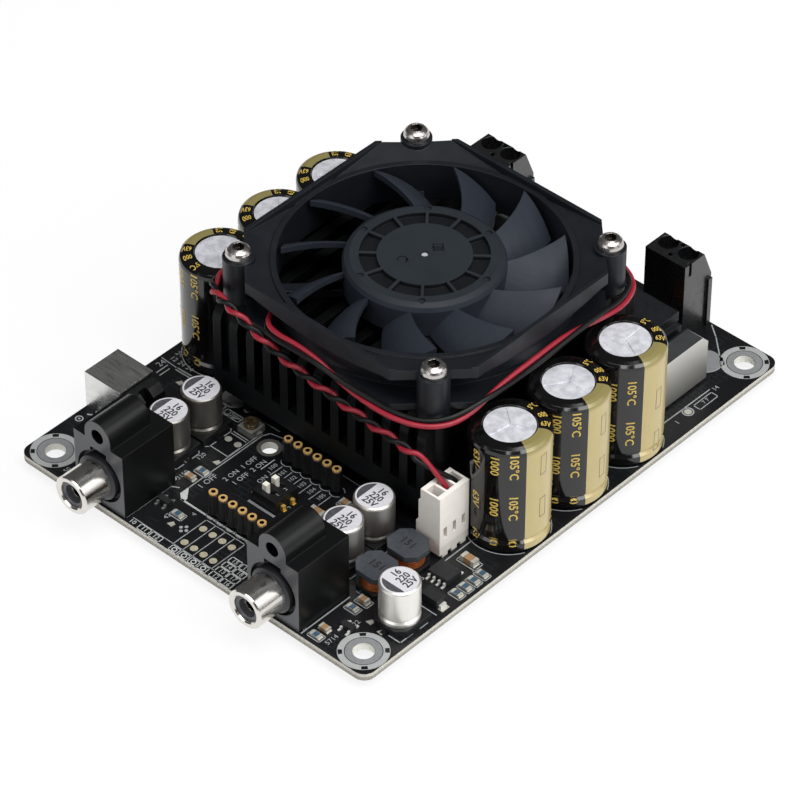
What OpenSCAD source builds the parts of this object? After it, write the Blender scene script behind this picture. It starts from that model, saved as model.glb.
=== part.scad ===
// Audio amplifier board with a fan-cooled heatsink.
// Origin: middle of the four fixing holes on the underside of the board.
// X runs along the audio input edge, Y towards the loudspeaker terminals, Z up.

/* [Board] */
// Board size along X
board_x = 91; // [90:0.5:96]
// Board size along Y
board_y = 120; // [119:0.5:126]
// Board thickness
board_t = 1.6; // [1.2:0.2:2.0]
// Corner radius of the board
board_r = 2.5; // [1:0.5:4]
// Fixing hole spacing along X
hole_dx = 81; // [79:0.5:82]
// Fixing hole spacing along Y
hole_dy = 110; // [108:0.5:111]
// Fixing hole diameter
hole_d = 4.2; // [3.2:0.1:4.6]
// Diameter of the hole for a plug-in module
module_d = 3.4; // [2.5:0.1:4]
// Diameter of the component leads
lead_d = 0.8; // [0.6:0.1:1]
// Length of the cut leads under the board
lead_out = 1.5; // [1.2:0.1:1.8]
// Diameter of a solder joint
solder_d = 2; // [1.6:0.1:2.4]

/* [Heatsink] */
// Place of the heatsink and the fan along Y
cooler_y = 5.74; // [5:0.1:6.5]
// Heatsink size along X
sink_x = 55; // [53:0.5:56]
// Height of the heatsink from its base to its fin tips
sink_h = 20.6; // [19:0.2:22]
// Thickness of the heatsink base
sink_base = 4.9; // [4:0.1:6]
// Clear height under the heatsink base
sink_lift = 5; // [4.8:0.1:6]
// Number of slots between the fins
slots = 12; // [10:1:12]
// Width of one slot
slot_w = 2.3; // [1.8:0.1:2.5]
// Radius on the fin corners
fin_r = 4; // [2:0.5:5]
// Diameter of the four fan bosses
boss_d = 6.6; // [6:0.1:7]
// Diameter of the four legs
leg_d = 7; // [6:0.5:8]
// Leg spacing along X
leg_dx = 42; // [38:1:44]
// Leg spacing along Y
leg_dy = 48; // [44:1:50]
// Diameter of the machine screws
screw_d = 3; // [2.5:0.1:3]
// Thickness of the thermal pad
pad_t = 0.5; // [0.3:0.1:0.8]
// Height of the amplifier chip
chip_h = 3.4; // [3:0.1:3.6]

/* [Fan] */
// Width of the fan frame
fan_w = 60; // [58:0.5:62]
// Thickness of the fan
fan_t = 10; // [10:0.5:11]
// Distance of the fan screws from the sides of the frame
fan_hole_edge = 5; // [4.8:0.1:5.4]
// Corner cut of the fan frame
fan_cut = 11.5; // [10:0.5:12]
// Thickness of the lower frame flange
flange_t = 1.5; // [1.2:0.1:1.6]
// Thickness of the upper frame flange
top_flange_t = 2.6; // [2:0.1:2.8]
// Least rim between the air duct and the sides of the frame
duct_rim = 1.7; // [1.5:0.1:2]
// Wall of the air duct
duct_wall = 1.2; // [1:0.1:1.4]
// Depth of the dished corners
dish_h = 2; // [1:0.2:2.4]
// Diameter of the corner posts
post_d = 6.3; // [5.8:0.1:6.6]
// Hole through a corner post
post_hole = 4.3; // [3.6:0.1:4.4]
// Diameter of the rotor hub
hub_d = 31.6; // [31:0.2:32]
// Number of blades
blades = 11; // [7:2:11]
// Gap between the blade tips and the duct
tip_gap = 0.8; // [0.6:0.1:1.2]
// Blade thickness
blade_t = 1; // [0.8:0.1:1.2]
// Diameter of the fan shaft
shaft_d = 2; // [1.6:0.1:2.2]
// Outer diameter of the sleeve bearing
bearing_d = 5; // [4.4:0.1:5.2]
// Width of the frame struts
strut_w = 2.4; // [1.8:0.1:3]

/* [Capacitors] */
// Diameter of the storage capacitors
cap_d = 16.3; // [15.5:0.1:16.3]
// Height of the storage capacitors
cap_h = 25.5; // [24:0.1:25.5]
// Width of the rolled rim on the storage capacitors
cap_rim = 2.9; // [2.6:0.1:3.2]
// Spacing of the storage capacitors
cap_pitch = 16.45; // [16.4:0.05:17]
// Lead spacing of the storage capacitors
cap_lead_pitch = 7.5; // [5:0.5:8]
// Diameter of the small capacitor cans
can_d = 8; // [7:0.1:8.2]
// Height of the small capacitors
can_h = 10.3; // [8:0.1:10.6]
// Side of the small capacitor bases
can_base = 8.3; // [8.2:0.1:8.6]

/* [Connectors] */
// Width of an input jack
rca_w = 13; // [12:0.1:13.4]
// Depth of an input jack
rca_depth = 13.5; // [12.5:0.1:14]
// Height of an input jack body
rca_h = 15.2; // [14.6:0.1:16]
// Spacing of the two input jacks
rca_pitch = 45.4; // [44:0.1:46]
// Outer diameter of the jack shells
rca_shell_d = 8.3; // [8:0.1:8.4]
// Reach of the jack shells past the jack body
rca_reach = 7.6; // [6:0.1:9]
// Width of the power jack
jack_w = 9.1; // [8.6:0.1:9.6]
// Length of the power jack shield
jack_l = 9.6; // [9:0.1:10]
// Height of the power jack shield
jack_h = 8.8; // [8.4:0.1:9.4]
// Thickness of the shield sheet
sheet_t = 0.4; // [0.3:0.1:0.5]
// Diameter of the power plug opening
jack_d = 6.4; // [6:0.1:6.6]
// Pin spacing of the terminal blocks
block_pitch = 5.08; // [5:0.02:5.08]
// Depth of a terminal block
block_y = 8.4; // [8:0.1:9]
// Height of a terminal block
block_h = 18.8; // [18.6:0.1:20]
// Diameter of the terminal screw heads
clamp_screw_d = 3.7; // [3.4:0.1:3.8]
// Thread pitch of the terminal screws
clamp_thread = 0.5; // [0.4:0.05:0.6]
// Height of the fan plug
plug_h = 12.4; // [11:0.1:13]
// Width of the fan plug along X
plug_x = 4.9; // [4.6:0.1:5]
// Length of the fan plug along Y
plug_y = 8.1; // [7.9:0.1:8.2]
// Pin spacing of plugs, sockets and switch
pin_pitch = 2.54; // [2.5:0.02:2.54]
// Row spacing of the module sockets
socket_rows = 20.45; // [20:0.05:20.5]
// Height of the module sockets
socket_h = 6; // [5:0.1:8]

/* [Hidden] */
$fn = 48;
top = board_t;
eps = 0.01;
lead_gap = 0.1;
screw_gap = 0.05;
run_gap = 0.04;
slide_gap = 0.15;

// places of the input edge parts
rca_front = -board_y / 2 + 0.5;
rca_mid = -0.7;
rca_axis_z = top + 6.9;
rca_boss_d = 6.8;
rca_boss_z = rca_h + top + 1.6;
rca_boss_l = 10.5;
rca_recess_d = 11.4;
rca_recess_h = 1.5;
rca_shell_in = 8;
rca_wall = 0.5;
rca_lip = 1.35;
rca_lip_l = 0.7;
rca_spots = [rca_mid - rca_pitch / 2, rca_mid + rca_pitch / 2];
jack_y = -37.2;
jack_front = -board_x / 2;
jack_body_l = 3.6;
module_x = -10.8;
module_y = -26.5;

// places of the storage capacitors
cap_x = board_x / 2 - cap_d / 2 - 0.05;
cap_mid_left = 4.5;
cap_mid_right = 4.8;
cap_spots = [
    for (k = [-1, 0, 1]) [cap_x, cap_mid_right + k * cap_pitch],
    for (k = [-1, 0, 1]) [-cap_x, cap_mid_left + k * cap_pitch]
];
// way the scored lines on each capacitor point
cap_turns = [22, 116, 92, 70, 20, 105];

// places of the small capacitors, and the way each base points
can_spots = [[-24.3, -39.9], [-24.3, -31.1], [20.9, -39.6], [20.9, -31], [board_x / 2 - 5.6, -44.6]];
can_turns = [180, 180, 180, 180, 270];
can_base_h = 1.7;

// heatsink levels
sink_y = fan_w;
sink_z = top + sink_lift;
sink_top = sink_z + sink_h;
fin_pitch = (sink_x + slot_w) / (slots + 1);
pad_x = 30;
pad_y = 36;
leg_spots = corner_spots(leg_dx, leg_dy, cooler_y);
fan_pitch = fan_w - 2 * fan_hole_edge;
fan_spots = corner_spots(fan_pitch, fan_pitch, cooler_y);
thread_depth = 13;
leg_thread = 7;

// fan levels, counted up from the heatsink
fan_z = sink_top;
duct_d = fan_w - 2 * duct_rim;
plate_t = 1.2;
plate_d = 27;
strut_t = 1.8;
tube_d = bearing_d + 1.8;
rotor_z = 2.2;
hub_top = fan_t - 0.7;
hub_wall = 1.3;
hub_inner = hub_top - 1.4;
yoke_t = 0.9;
magnet_t = 1.5;
stator_d = hub_d - 2 * (hub_wall + yoke_t + magnet_t) - 1.3;
bearing_top = hub_inner - 1;
blade_low = 2.6;
blade_root_top = fan_t - 2.1;
blade_tip_top = fan_t - 0.9;
blade_turn = -58.2;
blade_sweep = 15.2;
root_span = 20;
tip_span = 18.5;
lead_exit_turn = -119.3;
lead_exit_z = 3;

// plug, sockets and switch
plug_spot = [31.9, -23.5];
header_h = 2.6;
plug_z = top + header_h;
socket_x = 1;
socket_y = -37.05;
switch_spot = [0.15, -36.3];
switch_x = 6;
switch_y = 6.3;
switch_h = 2.9;
slider_w = 1.1;
slider_h = 1.3;
slider_travel = 1.5;
trimmer_spot = [-16.8, -25.3];

// terminal blocks and their moving clamps
block_x = 2 * block_pitch;
block_spots = [22.2, -24.4];
block_back = board_y / 2 - 0.2;
block_front = block_back - block_y;
screw_y = block_front + 4;
clamp_x = 3.7;
clamp_y = 4.4;
clamp_z = 5;
clamp_rest = top + 1.4;
tunnel_z = top + 1.2;
clamp_travel = 4 * clamp_thread;
tunnel_h = clamp_z + clamp_travel + 1.4;
head_z = tunnel_z + tunnel_h + 2;

// output chokes
choke_x = [34.1, -36.3];
choke_core_x = 4;
choke_y0 = 30.3;
choke_y1 = 46;
choke_h = 11.7;
choke_mid = (choke_y0 + choke_y1) / 2;
choke_rod_d = 5;
choke_coil_d = 8.4;
choke_rod_l = 13.2;
choke_reach = 14.4;
choke_block_x = 3.6;
choke_axis_y = 41.4 - choke_mid;
shelf_y = 7.4;
shelf_t = 2.3;

// drum inductors
drum_spots = [[30.3, -40.4], [30.5, -32]];
drum_x = 7.8;
drum_y = 7;
drum_h = 5;

// leads through the board
cap_leads = [for (p = cap_spots, s = [-1, 1]) [p.x, p.y + s * cap_lead_pitch / 2]];
rca_leads = [for (x = rca_spots, q = [[0, 12], [-4.5, 6], [4.5, 6]]) [x + q.x, rca_front + q.y]];
jack_leads = [for (q = [[3, 0], [8, 0], [jack_l + 2, 3]]) [jack_front + q.x, jack_y + q.y]];
block_leads = [for (x = block_spots, s = [-1, 1]) [x + s * block_pitch / 2, screw_y]];
plug_leads = [for (k = [-1, 0, 1]) [plug_spot.x, plug_spot.y + k * pin_pitch]];
choke_leads = [for (k = [0, 1], s = [-1, 1]) [choke_x[k] + (2 * k - 1) * 1.9, choke_mid + s * 5]];
socket_pins = [
    for (s = [-1, 1], k = [0:5])
        [socket_x + (k - 2.5) * pin_pitch, socket_y + s * socket_rows / 2]
];
lead_spots = concat(cap_leads, rca_leads, jack_leads, block_leads, plug_leads, choke_leads, socket_pins);

// route of the twisted fan lead: round the fan, counted from its middle and its underside
lead_tube_d = 2.6;
lead_round = [
    [-14.3, -25.4, 3], [-14.2, -27.7, 3], [-12.4, -30.3, 3], [-9, -31.5, 3.2], [-4, -31.6, 3.4],
    [2, -31.6, 3], [8, -31.6, 1.7], [15, -31.6, 1.2], [21, -31.3, 1.2], [26.2, -29.7, 1.3],
    [29.4, -26.7, 1.5], [30.9, -22.7, 1.9], [31.6, -16.7, 2.8], [31.6, -5.7, 3.1], [31.6, 6.3, 3.4],
    [31.6, 15.3, 3], [31.2, 20.3, 2.4], [30, 25.1, 1.8], [27.7, 29.1, 1.6], [23, 31.1, 1.7],
    [17, 31.6, 2.1], [0, 31.6, 2.8], [-17, 31.6, 2.4], [-23, 31.1, 2.1], [-27.7, 29.1, 2],
    [-30, 25.1, 2], [-31.2, 20.3, 2.1], [-31.6, 12.3, 2.4], [-31.6, -5.7, 2.8], [-31.6, -16.7, 2.2],
    [-31.2, -23, 1.7], [-29.4, -27.6, 1.8], [-25.3, -30.2, 2.9], [-19.5, -31.7, 3.1], [-7, -31.7, -1],
    [9.5, -31.7, -3.4], [24, -31.7, -4.8], [28.6, -31.3, -6]
];
// and down into the plug
plug_top = plug_z + plug_h;
lead_route = concat(
    [for (p = lead_round) [p.x * fan_w / 60, cooler_y + p.y * fan_w / 60, fan_z + p.z]],
    [[plug_spot.x - 0.6, plug_spot.y - 0.9, plug_top + 2.4], [plug_spot.x, plug_spot.y, plug_top + 0.15]]
);

function corner_spots(dx, dy, y = 0) =
    [for (s = [-1, 1], t = [-1, 1]) [s * dx / 2, y + t * dy / 2]];

// Shared shapes

module rounded_rect(x, y, r) {
    square([x - 2 * r, y], center = true);
    square([x, y - 2 * r], center = true);
    for (p = corner_spots(x - 2 * r, y - 2 * r)) translate(p) circle(r);
}

module drill(p, d) {
    translate([p.x, p.y, -eps]) cylinder(d = d, h = board_t + 2 * eps);
}

module ring(d_out, d_in, h) {
    difference() {
        cylinder(d = d_out, h = h);
        translate([0, 0, -eps]) cylinder(d = d_in, h = h + 2 * eps);
    }
}

module box(x, y, z) {
    translate([-x / 2, -y / 2, 0]) cube([x, y, z]);
}

// stands a Y-Z outline up and extrudes it along X
module side_extrude(x) {
    translate([-x / 2, 0, 0]) rotate([90, 0, 90]) linear_extrude(x) children();
}

// Board

module circuit_board() {
    color("#16181b") difference() {
        linear_extrude(board_t) rounded_rect(board_x, board_y, board_r);
        for (p = corner_spots(hole_dx, hole_dy)) drill(p, hole_d);
        for (p = leg_spots) drill(p, screw_d + 0.4);
        for (p = lead_spots) drill(p, lead_d + 2 * lead_gap);
        drill([module_x, module_y], module_d);
    }
}

module solder_joints() {
    r = lead_d / 2;
    color("#c4c6c8") for (p = lead_spots) translate(p)
        rotate_extrude($fn = 24) polygon([
            [0, -lead_out], [r, -lead_out], [r, 0.6 - lead_out], [solder_d / 2, 0],
            [r, 0], [r, board_t], [0, board_t]
        ]);
}

// Heatsink and what it cools

module fin_outline() {
    translate([-sink_y / 2, 0]) square([sink_y, sink_h - fin_r]);
    translate([fin_r - sink_y / 2, 0]) square([sink_y - 2 * fin_r, sink_h]);
    for (s = [-1, 1]) translate([s * (sink_y / 2 - fin_r), sink_h - fin_r]) circle(fin_r);
}

module heatsink() {
    pedestal_z = top + chip_h + pad_t;
    color("#1d1e20") difference() {
        union() {
            translate([0, cooler_y, sink_z]) difference() {
                side_extrude(sink_x) fin_outline();
                for (k = [1:slots])
                    translate([k * fin_pitch - slot_w - sink_x / 2, -sink_y, sink_base])
                        cube([slot_w, 2 * sink_y, sink_h]);
            }
            for (p = fan_spots) translate([p.x, p.y, sink_z]) cylinder(d = boss_d, h = sink_h);
            for (p = leg_spots) translate([p.x, p.y, top]) cylinder(d = leg_d, h = sink_lift + 1);
            translate([0, cooler_y, pedestal_z]) box(pad_x, pad_y, sink_z - pedestal_z + 1);
        }
        for (p = fan_spots) translate([p.x, p.y, sink_top - thread_depth])
            cylinder(d = screw_d + 2 * screw_gap, h = thread_depth + eps);
        for (p = leg_spots) translate([p.x, p.y, top - eps])
            cylinder(d = screw_d + 2 * screw_gap, h = leg_thread);
    }
}

module thermal_pad() {
    color("#8c9aa6") translate([0, cooler_y, top + chip_h]) box(pad_x - 4, pad_y - 6, pad_t);
}

module amplifier_chip() {
    body_x = 24;
    body_y = 30;
    color("#222426") translate([0, cooler_y, top]) {
        translate([0, 0, 0.1]) box(body_x, body_y, chip_h - 0.1);
        for (s = [-1, 1], k = [-8:8]) translate([s * body_x / 2, k * 1.6, 0]) {
            translate([s * 0.3, 0, 0]) box(0.8, 0.5, 1.4);
            translate([s * 1.2, 0, 0]) box(1.4, 0.5, 0.3);
        }
    }
}

module heatsink_screws() {
    color("#b9bcc0") for (p = leg_spots) translate(p) {
        difference() {
            rotate_extrude() polygon([
                [0, -2], [2, -2], [2.6, -1.5], [2.8, 0], [screw_d / 2, 0],
                [screw_d / 2, board_t + leg_thread - 1], [0, board_t + leg_thread - 1]
            ]);
            for (a = [0, 90]) rotate(a) translate([0, 0, -2.1]) box(2.8, 0.6, 1.1);
        }
    }
}

// Fan

module at_fan(z = 0) {
    translate([0, cooler_y, fan_z + z]) children();
}

module frame_outline() {
    half = fan_w / 2;
    flat = half - fan_cut;
    polygon([
        [-half, -flat], [-flat, -half], [flat, -half], [half, -flat],
        [half, flat], [flat, half], [-flat, half], [-half, flat]
    ]);
}

module frame_shell() {
    lip = 0.9;
    difference() {
        union() {
            linear_extrude(flange_t) frame_outline();
            translate([0, 0, fan_t - top_flange_t]) linear_extrude(top_flange_t) frame_outline();
            intersection() {
                cylinder(d = duct_d + 2 * duct_wall, h = fan_t, $fn = 96);
                box(fan_w, fan_w, fan_t);
            }
            // funnel under the dished corners
            intersection() {
                translate([0, 0, fan_t - top_flange_t - dish_h])
                    cylinder(d1 = duct_d + 2 * duct_wall, d2 = duct_d + 12, h = dish_h + eps, $fn = 96);
                linear_extrude(fan_t) frame_outline();
            }
        }
        translate([0, 0, -eps]) cylinder(d = duct_d, h = fan_t + 2 * eps, $fn = 96);
        intersection() {
            translate([0, 0, fan_t - dish_h])
                cylinder(d1 = duct_d, d2 = duct_d + 16, h = dish_h + eps, $fn = 96);
            box(fan_w - 2 * lip, fan_w - 2 * lip, fan_t + 1);
        }
        rotate(lead_exit_turn) translate([duct_d / 2 - 2, 0, lead_exit_z]) rotate([0, 90, 0])
            cylinder(d = 3.2, h = 6);
    }
}

module fan_frame() {
    color("#24272b") at_fan() difference() {
        union() {
            frame_shell();
            // raised lip round the mouth of the duct
            intersection() {
                translate([0, 0, fan_t - dish_h - 0.5]) ring(duct_d + 2.4, duct_d, 1.1);
                linear_extrude(fan_t) frame_outline();
            }
            for (p = corner_spots(fan_pitch, fan_pitch)) translate(p) cylinder(d = post_d, h = fan_t);
            cylinder(d = plate_d, h = plate_t);
            for (a = [45:90:315]) rotate(a) translate([plate_d / 2 - 2, -strut_w / 2, 0])
                cube([(duct_d - plate_d) / 2 + 2.5, strut_w, strut_t]);
            cylinder(d = tube_d, h = bearing_top);
        }
        for (p = corner_spots(fan_pitch, fan_pitch)) translate([p.x, p.y, -eps])
            cylinder(d = post_hole, h = fan_t + 2 * eps);
        translate([0, 0, plate_t]) cylinder(d = bearing_d, h = bearing_top);
    }
}

// one cambered, swept blade, from inside the hub wall out to its tip
module blade() {
    nr = 5;
    nc = 6;
    r0 = hub_d / 2 - hub_wall / 2;
    r1 = duct_d / 2 - tip_gap;
    function mix(a, b, t) = a + (b - a) * t;
    function fall(s) = 0.6 * s + 0.4 * s * s;
    function edge(s) = 0.55 + 0.85 * (1 - s) * (1 - s);
    function spot(i, j, side) =
        let (s = i / nc, t = j / nr,
             r = mix(r0, r1, t),
             a = blade_turn + blade_sweep * t - mix(root_span, tip_span, t) * s,
             z = mix(mix(blade_root_top, blade_tip_top, t), blade_low, fall(s)))
        [r * cos(a), r * sin(a), z - (side + 1) * blade_t / 2 * edge(s)];
    count = (nc + 1) * (nr + 1);
    function id(i, j, b) = b * count + i * (nr + 1) + j;
    function quad(a, b, c, d) = [[a, b, c], [a, c, d]];
    points = [for (b = [-1, 1], i = [0:nc], j = [0:nr]) spot(i, j, b)];
    faces = [
        for (i = [0:nc - 1], j = [0:nr - 1])
            each quad(id(i, j, 0), id(i, j + 1, 0), id(i + 1, j + 1, 0), id(i + 1, j, 0)),
        for (i = [0:nc - 1], j = [0:nr - 1])
            each quad(id(i + 1, j, 1), id(i + 1, j + 1, 1), id(i, j + 1, 1), id(i, j, 1)),
        for (j = [0:nr - 1]) each quad(id(0, j, 0), id(0, j, 1), id(0, j + 1, 1), id(0, j + 1, 0)),
        for (j = [0:nr - 1]) each quad(id(nc, j, 0), id(nc, j + 1, 0), id(nc, j + 1, 1), id(nc, j, 1)),
        for (i = [0:nc - 1]) each quad(id(i, 0, 0), id(i + 1, 0, 0), id(i + 1, 0, 1), id(i, 0, 1)),
        for (i = [0:nc - 1]) each quad(id(i, nr, 0), id(i, nr, 1), id(i + 1, nr, 1), id(i + 1, nr, 0))
    ];
    polyhedron(points, faces);
}

// hub cup with its recessed ring, ribs and shaft boss
module hub() {
    r = hub_d / 2;
    groove_out = 0.398 * hub_d;
    groove_in = 0.292 * hub_d;
    groove_h = 1;
    first_rib = 10;
    groove_mid = (groove_out + groove_in) / 2;
    difference() {
        rotate_extrude($fn = 72) polygon([
            [0, hub_inner - 0.7], [2.6, hub_inner - 0.7], [2.6, hub_inner], [r - hub_wall, hub_inner],
            [r - hub_wall, rotor_z], [r, rotor_z], [r, hub_top - 1.5], [r - 0.4, hub_top - 0.6],
            [r - 1.4, hub_top], [0, hub_top]
        ]);
        difference() {
            translate([0, 0, hub_top - groove_h]) ring(2 * groove_out, 2 * groove_in, 1);
            for (k = [0:11]) rotate(30 * k + first_rib)
                translate([groove_mid, 0, hub_top - groove_h - eps]) box(0.13 * hub_d, 0.6, 2);
        }
        for (k = [0:5]) rotate(60 * k + first_rib) translate([0.438 * hub_d, 0, hub_top - 0.5])
            cylinder(r = 0.75, h = 1);
        translate([0, 0, hub_top - 0.3]) cylinder(r = 0.8, h = 1);
        translate([0, 0, hub_inner - 1]) cylinder(d = shaft_d, h = 1.6);
    }
}

module fan_impeller() {
    color("#2a2d31") at_fan() {
        hub();
        for (k = [0:blades - 1]) rotate(360 / blades * k) blade();
    }
}

module rotor_yoke() {
    d = hub_d - 2 * hub_wall;
    color("#9a9da1") at_fan(rotor_z + 0.3) difference() {
        cylinder(d = d, h = hub_inner - rotor_z - 0.3);
        translate([0, 0, -eps])
            cylinder(d = d - 2 * yoke_t, h = hub_inner - rotor_z - 0.3 - yoke_t + 2 * eps);
        cylinder(d = 0.38 * hub_d, h = 20);
    }
}

module rotor_magnet() {
    d = hub_d - 2 * hub_wall - 2 * yoke_t;
    color("#4a4a4c") at_fan(rotor_z + 0.5) ring(d, d - 2 * magnet_t, hub_inner - rotor_z - 0.5 - yoke_t);
}

module fan_shaft() {
    color("#d0d3d6") at_fan(plate_t + 0.3) cylinder(d = shaft_d, h = hub_inner + 0.6 - plate_t - 0.3);
}

module fan_bearing() {
    color("#a8874a") at_fan(plate_t) ring(bearing_d, shaft_d + 2 * run_gap, bearing_top - plate_t);
}

module stator_core() {
    arm = 2.6;
    color("#7d8084") at_fan(3.4) linear_extrude(2.4) difference() {
        union() {
            circle(d = tube_d + 3);
            for (a = [0, 90]) rotate(a) square([stator_d - 1, arm], center = true);
            intersection() {
                difference() {
                    circle(d = stator_d);
                    circle(d = stator_d - 3);
                }
                for (a = [0:90:270]) rotate(a) polygon([[0, 0], [20, -13], [20, 13]]);
            }
        }
        circle(d = tube_d + 0.04);
    }
}

module stator_coils() {
    arm = 2.6;
    inner = (tube_d + 3) / 2 + 0.1;
    length = stator_d / 2 - 2 - inner;
    color("#b5703a") at_fan(2.6) for (a = [0:90:270]) rotate(a) translate([inner, 0, 0]) difference() {
        translate([0, -2.5, 0]) cube([length, 5, 4]);
        translate([-eps, -arm / 2, 0.8]) cube([length + 2 * eps, arm, 2.4]);
    }
}

module fan_circuit() {
    color("#2f5a3a") at_fan(plate_t) ring(stator_d - 2, tube_d, 0.8);
}

module fan_screws() {
    color("#d9dadb") for (p = fan_spots) translate([p.x, p.y, fan_z + fan_t]) difference() {
        rotate_extrude() polygon([
            [0, 2.2], [1.3, 2.2], [1.8, 2.02], [2.2, 1.7], [2.48, 1.2], [2.6, 0.6], [2.5, 0],
            [screw_d / 2, 0], [screw_d / 2, 2 - fan_t - thread_depth], [0, 2 - fan_t - thread_depth]
        ]);
        translate([0, 0, 1]) cylinder(d = 2.5, h = 2, $fn = 6);
    }
}

// tube swept along the route by a smooth spline through its points
module fan_lead() {
    sides = 8;
    steps = 2;
    n = len(lead_route) - 1;
    function knot(k) = lead_route[max(0, min(n, k))];
    function along(k, t) =
        let (a = knot(k - 1), b = knot(k), c = knot(k + 1), d = knot(k + 2))
        b + (c - a) / 2 * t + (a - 5 / 2 * b + 2 * c - d / 2) * t * t
            + (b * 3 / 2 - c * 3 / 2 + (d - a) / 2) * t * t * t;
    path = [for (k = [0:n - 1], s = [0:steps - 1]) along(k, s / steps), lead_route[n]];
    last = len(path) - 1;
    function unit(v) = v / norm(v);
    function ahead(i) = unit(path[min(last, i + 1)] - path[max(0, i - 1)]);
    function side(i) = unit(cross(ahead(i), [0.12, 0.15, 0.98]));
    points = [
        for (i = [0:last], k = [0:sides - 1])
            path[i] + lead_tube_d / 2 * (cos(360 / sides * k) * side(i)
                + sin(360 / sides * k) * cross(side(i), ahead(i)))
    ];
    faces = [
        [for (k = [0:sides - 1]) k],
        for (i = [0:last - 1], k = [0:sides - 1])
            each [
                [i * sides + k, (i + 1) * sides + k, (i + 1) * sides + (k + 1) % sides],
                [i * sides + k, (i + 1) * sides + (k + 1) % sides, i * sides + (k + 1) % sides]
            ],
        [for (k = [sides - 1:-1:0]) last * sides + k]
    ];
    color("#a01f2c") polyhedron(points, faces);
}

// Fan plug

module plug_housing() {
    color("#efeee8") translate([plug_spot.x, plug_spot.y, plug_z]) difference() {
        union() {
            box(plug_x, plug_y, plug_h);
            translate([-plug_x / 2 - 0.5, -plug_y / 2, 0]) cube([1, plug_y, plug_h - 3]);
        }
        for (k = [-1, 0, 1]) translate([0, k * pin_pitch, 0]) {
            translate([0, 0, 4]) box(2.8, 2, plug_h);
            translate([0, 0, -eps]) box(1, 1, plug_h);
            translate([plug_x / 2 - 1, 0, 2]) box(2.4, 0.9, 2.6);
        }
    }
}

module plug_contacts() {
    color("#cfd1d3") translate([plug_spot.x, plug_spot.y, plug_z + 4])
        for (k = [0, 1]) translate([0, k * pin_pitch, 0]) difference() {
            box(1.8, 1.6, 5);
            translate([0, 0, -eps]) box(0.9, 0.9, 4);
        }
}

module fan_header() {
    wall = 0.6;
    color("#e9e7df") translate([plug_spot.x, plug_spot.y, top]) {
        difference() {
            box(plug_x, plug_y, header_h);
            for (k = [-1.5:1:1.5]) translate([0, k * pin_pitch, -eps]) box(plug_x + 1, 1, 0.8);
        }
        for (k = [-1, 0, 1]) translate([0, k * pin_pitch, header_h - eps]) box(0.64, 0.64, 6.5);
        translate([-plug_x / 2 - 0.5 - wall, -plug_y / 2, 0]) cube([wall, plug_y, header_h + 4]);
        translate([-plug_x / 2 - 0.5 - eps, -plug_y / 2, 1]) cube([0.5 + 2 * eps, plug_y, header_h - 1]);
    }
}

// Storage capacitors

module storage_capacitor(k) {
    r = cap_d / 2;
    color("#1c1b1a") translate([cap_spots[k].x, cap_spots[k].y, top]) difference() {
        rotate_extrude($fn = 72) polygon([
            [0, 0.3], [r - 1.6, 0.3], [r - 1.2, 0], [r - 0.5, 0], [r, 0.6], [r, 2.2], [r - 0.5, 2.7],
            [r - 0.5, 3], [r, 3.5], [r, cap_h - 1.3], [r - 0.2, cap_h - 0.7], [r - 0.7, cap_h - 0.25],
            [r - 1.5, cap_h], [r - cap_rim, cap_h], [r - cap_rim - 0.15, cap_h - 0.25], [0, cap_h - 0.25]
        ]);
        for (a = [0, 120, 240]) rotate(a + cap_turns[k]) translate([0, -0.2, cap_h - 0.45])
            cube([r - cap_rim - 0.5, 0.4, 1]);
    }
}

// Small capacitors

module can_capacitors() {
    r = can_d / 2;
    color("#d4d5d6") for (p = can_spots) translate([p.x, p.y, top + can_base_h - 0.5])
        rotate_extrude() polygon([
            [0, 0], [r - 0.5, 0], [r, 0.5], [r, 1.3], [r - 0.35, 1.7], [r - 0.35, 1.9], [r, 2.3],
            [r, can_h - can_base_h], [r - 0.12, can_h - can_base_h + 0.3],
            [r - 0.4, can_h - can_base_h + 0.5], [0, can_h - can_base_h + 0.5]
        ]);
}

module can_bases() {
    h = can_base / 2;
    cut = 1.6;
    color("#1b1c1e") for (k = [0:len(can_spots) - 1])
        translate([can_spots[k].x, can_spots[k].y, top]) rotate(can_turns[k]) {
            difference() {
                linear_extrude(can_base_h) polygon([
                    [-h, -h], [h - cut, -h], [h, cut - h], [h, h - cut], [h - cut, h], [-h, h]
                ]);
                translate([0, 0, can_base_h - 0.5]) cylinder(d = can_d + 0.1, h = 1);
            }
            for (s = [-1, 1]) translate([s * (h + 0.3), 0, 0]) box(1, 0.9, 0.3);
        }
}

// Input jacks

module rca_body(k) {
    color("#1e2023") translate([rca_spots[k], rca_front, 0]) difference() {
        union() {
            translate([-rca_w / 2, 0, top]) cube([rca_w, rca_depth, rca_h]);
            translate([0, 0, rca_boss_z]) rotate([-90, 0, 0]) cylinder(d = rca_boss_d, h = rca_boss_l);
            translate([-rca_boss_d / 2, 0, top + rca_h - 1]) cube([rca_boss_d, rca_boss_l, 2.6]);
        }
        translate([0, -eps, rca_boss_z]) rotate([-90, 0, 0]) cylinder(d = 3.1, h = 8);
        translate([-2.1, -eps, rca_boss_z - rca_boss_d / 2 - 1.6]) cube([4.2, 3, 1.5]);
        translate([0, -eps, rca_axis_z]) rotate([-90, 0, 0]) {
            cylinder(d = rca_recess_d, h = rca_recess_h + 2 * eps);
            cylinder(d = rca_shell_d + 0.1, h = rca_shell_in + 2 * eps);
        }
    }
}

module at_jacks() {
    for (x = rca_spots) translate([x, rca_front, rca_axis_z]) rotate([-90, 0, 0]) children();
}

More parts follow.
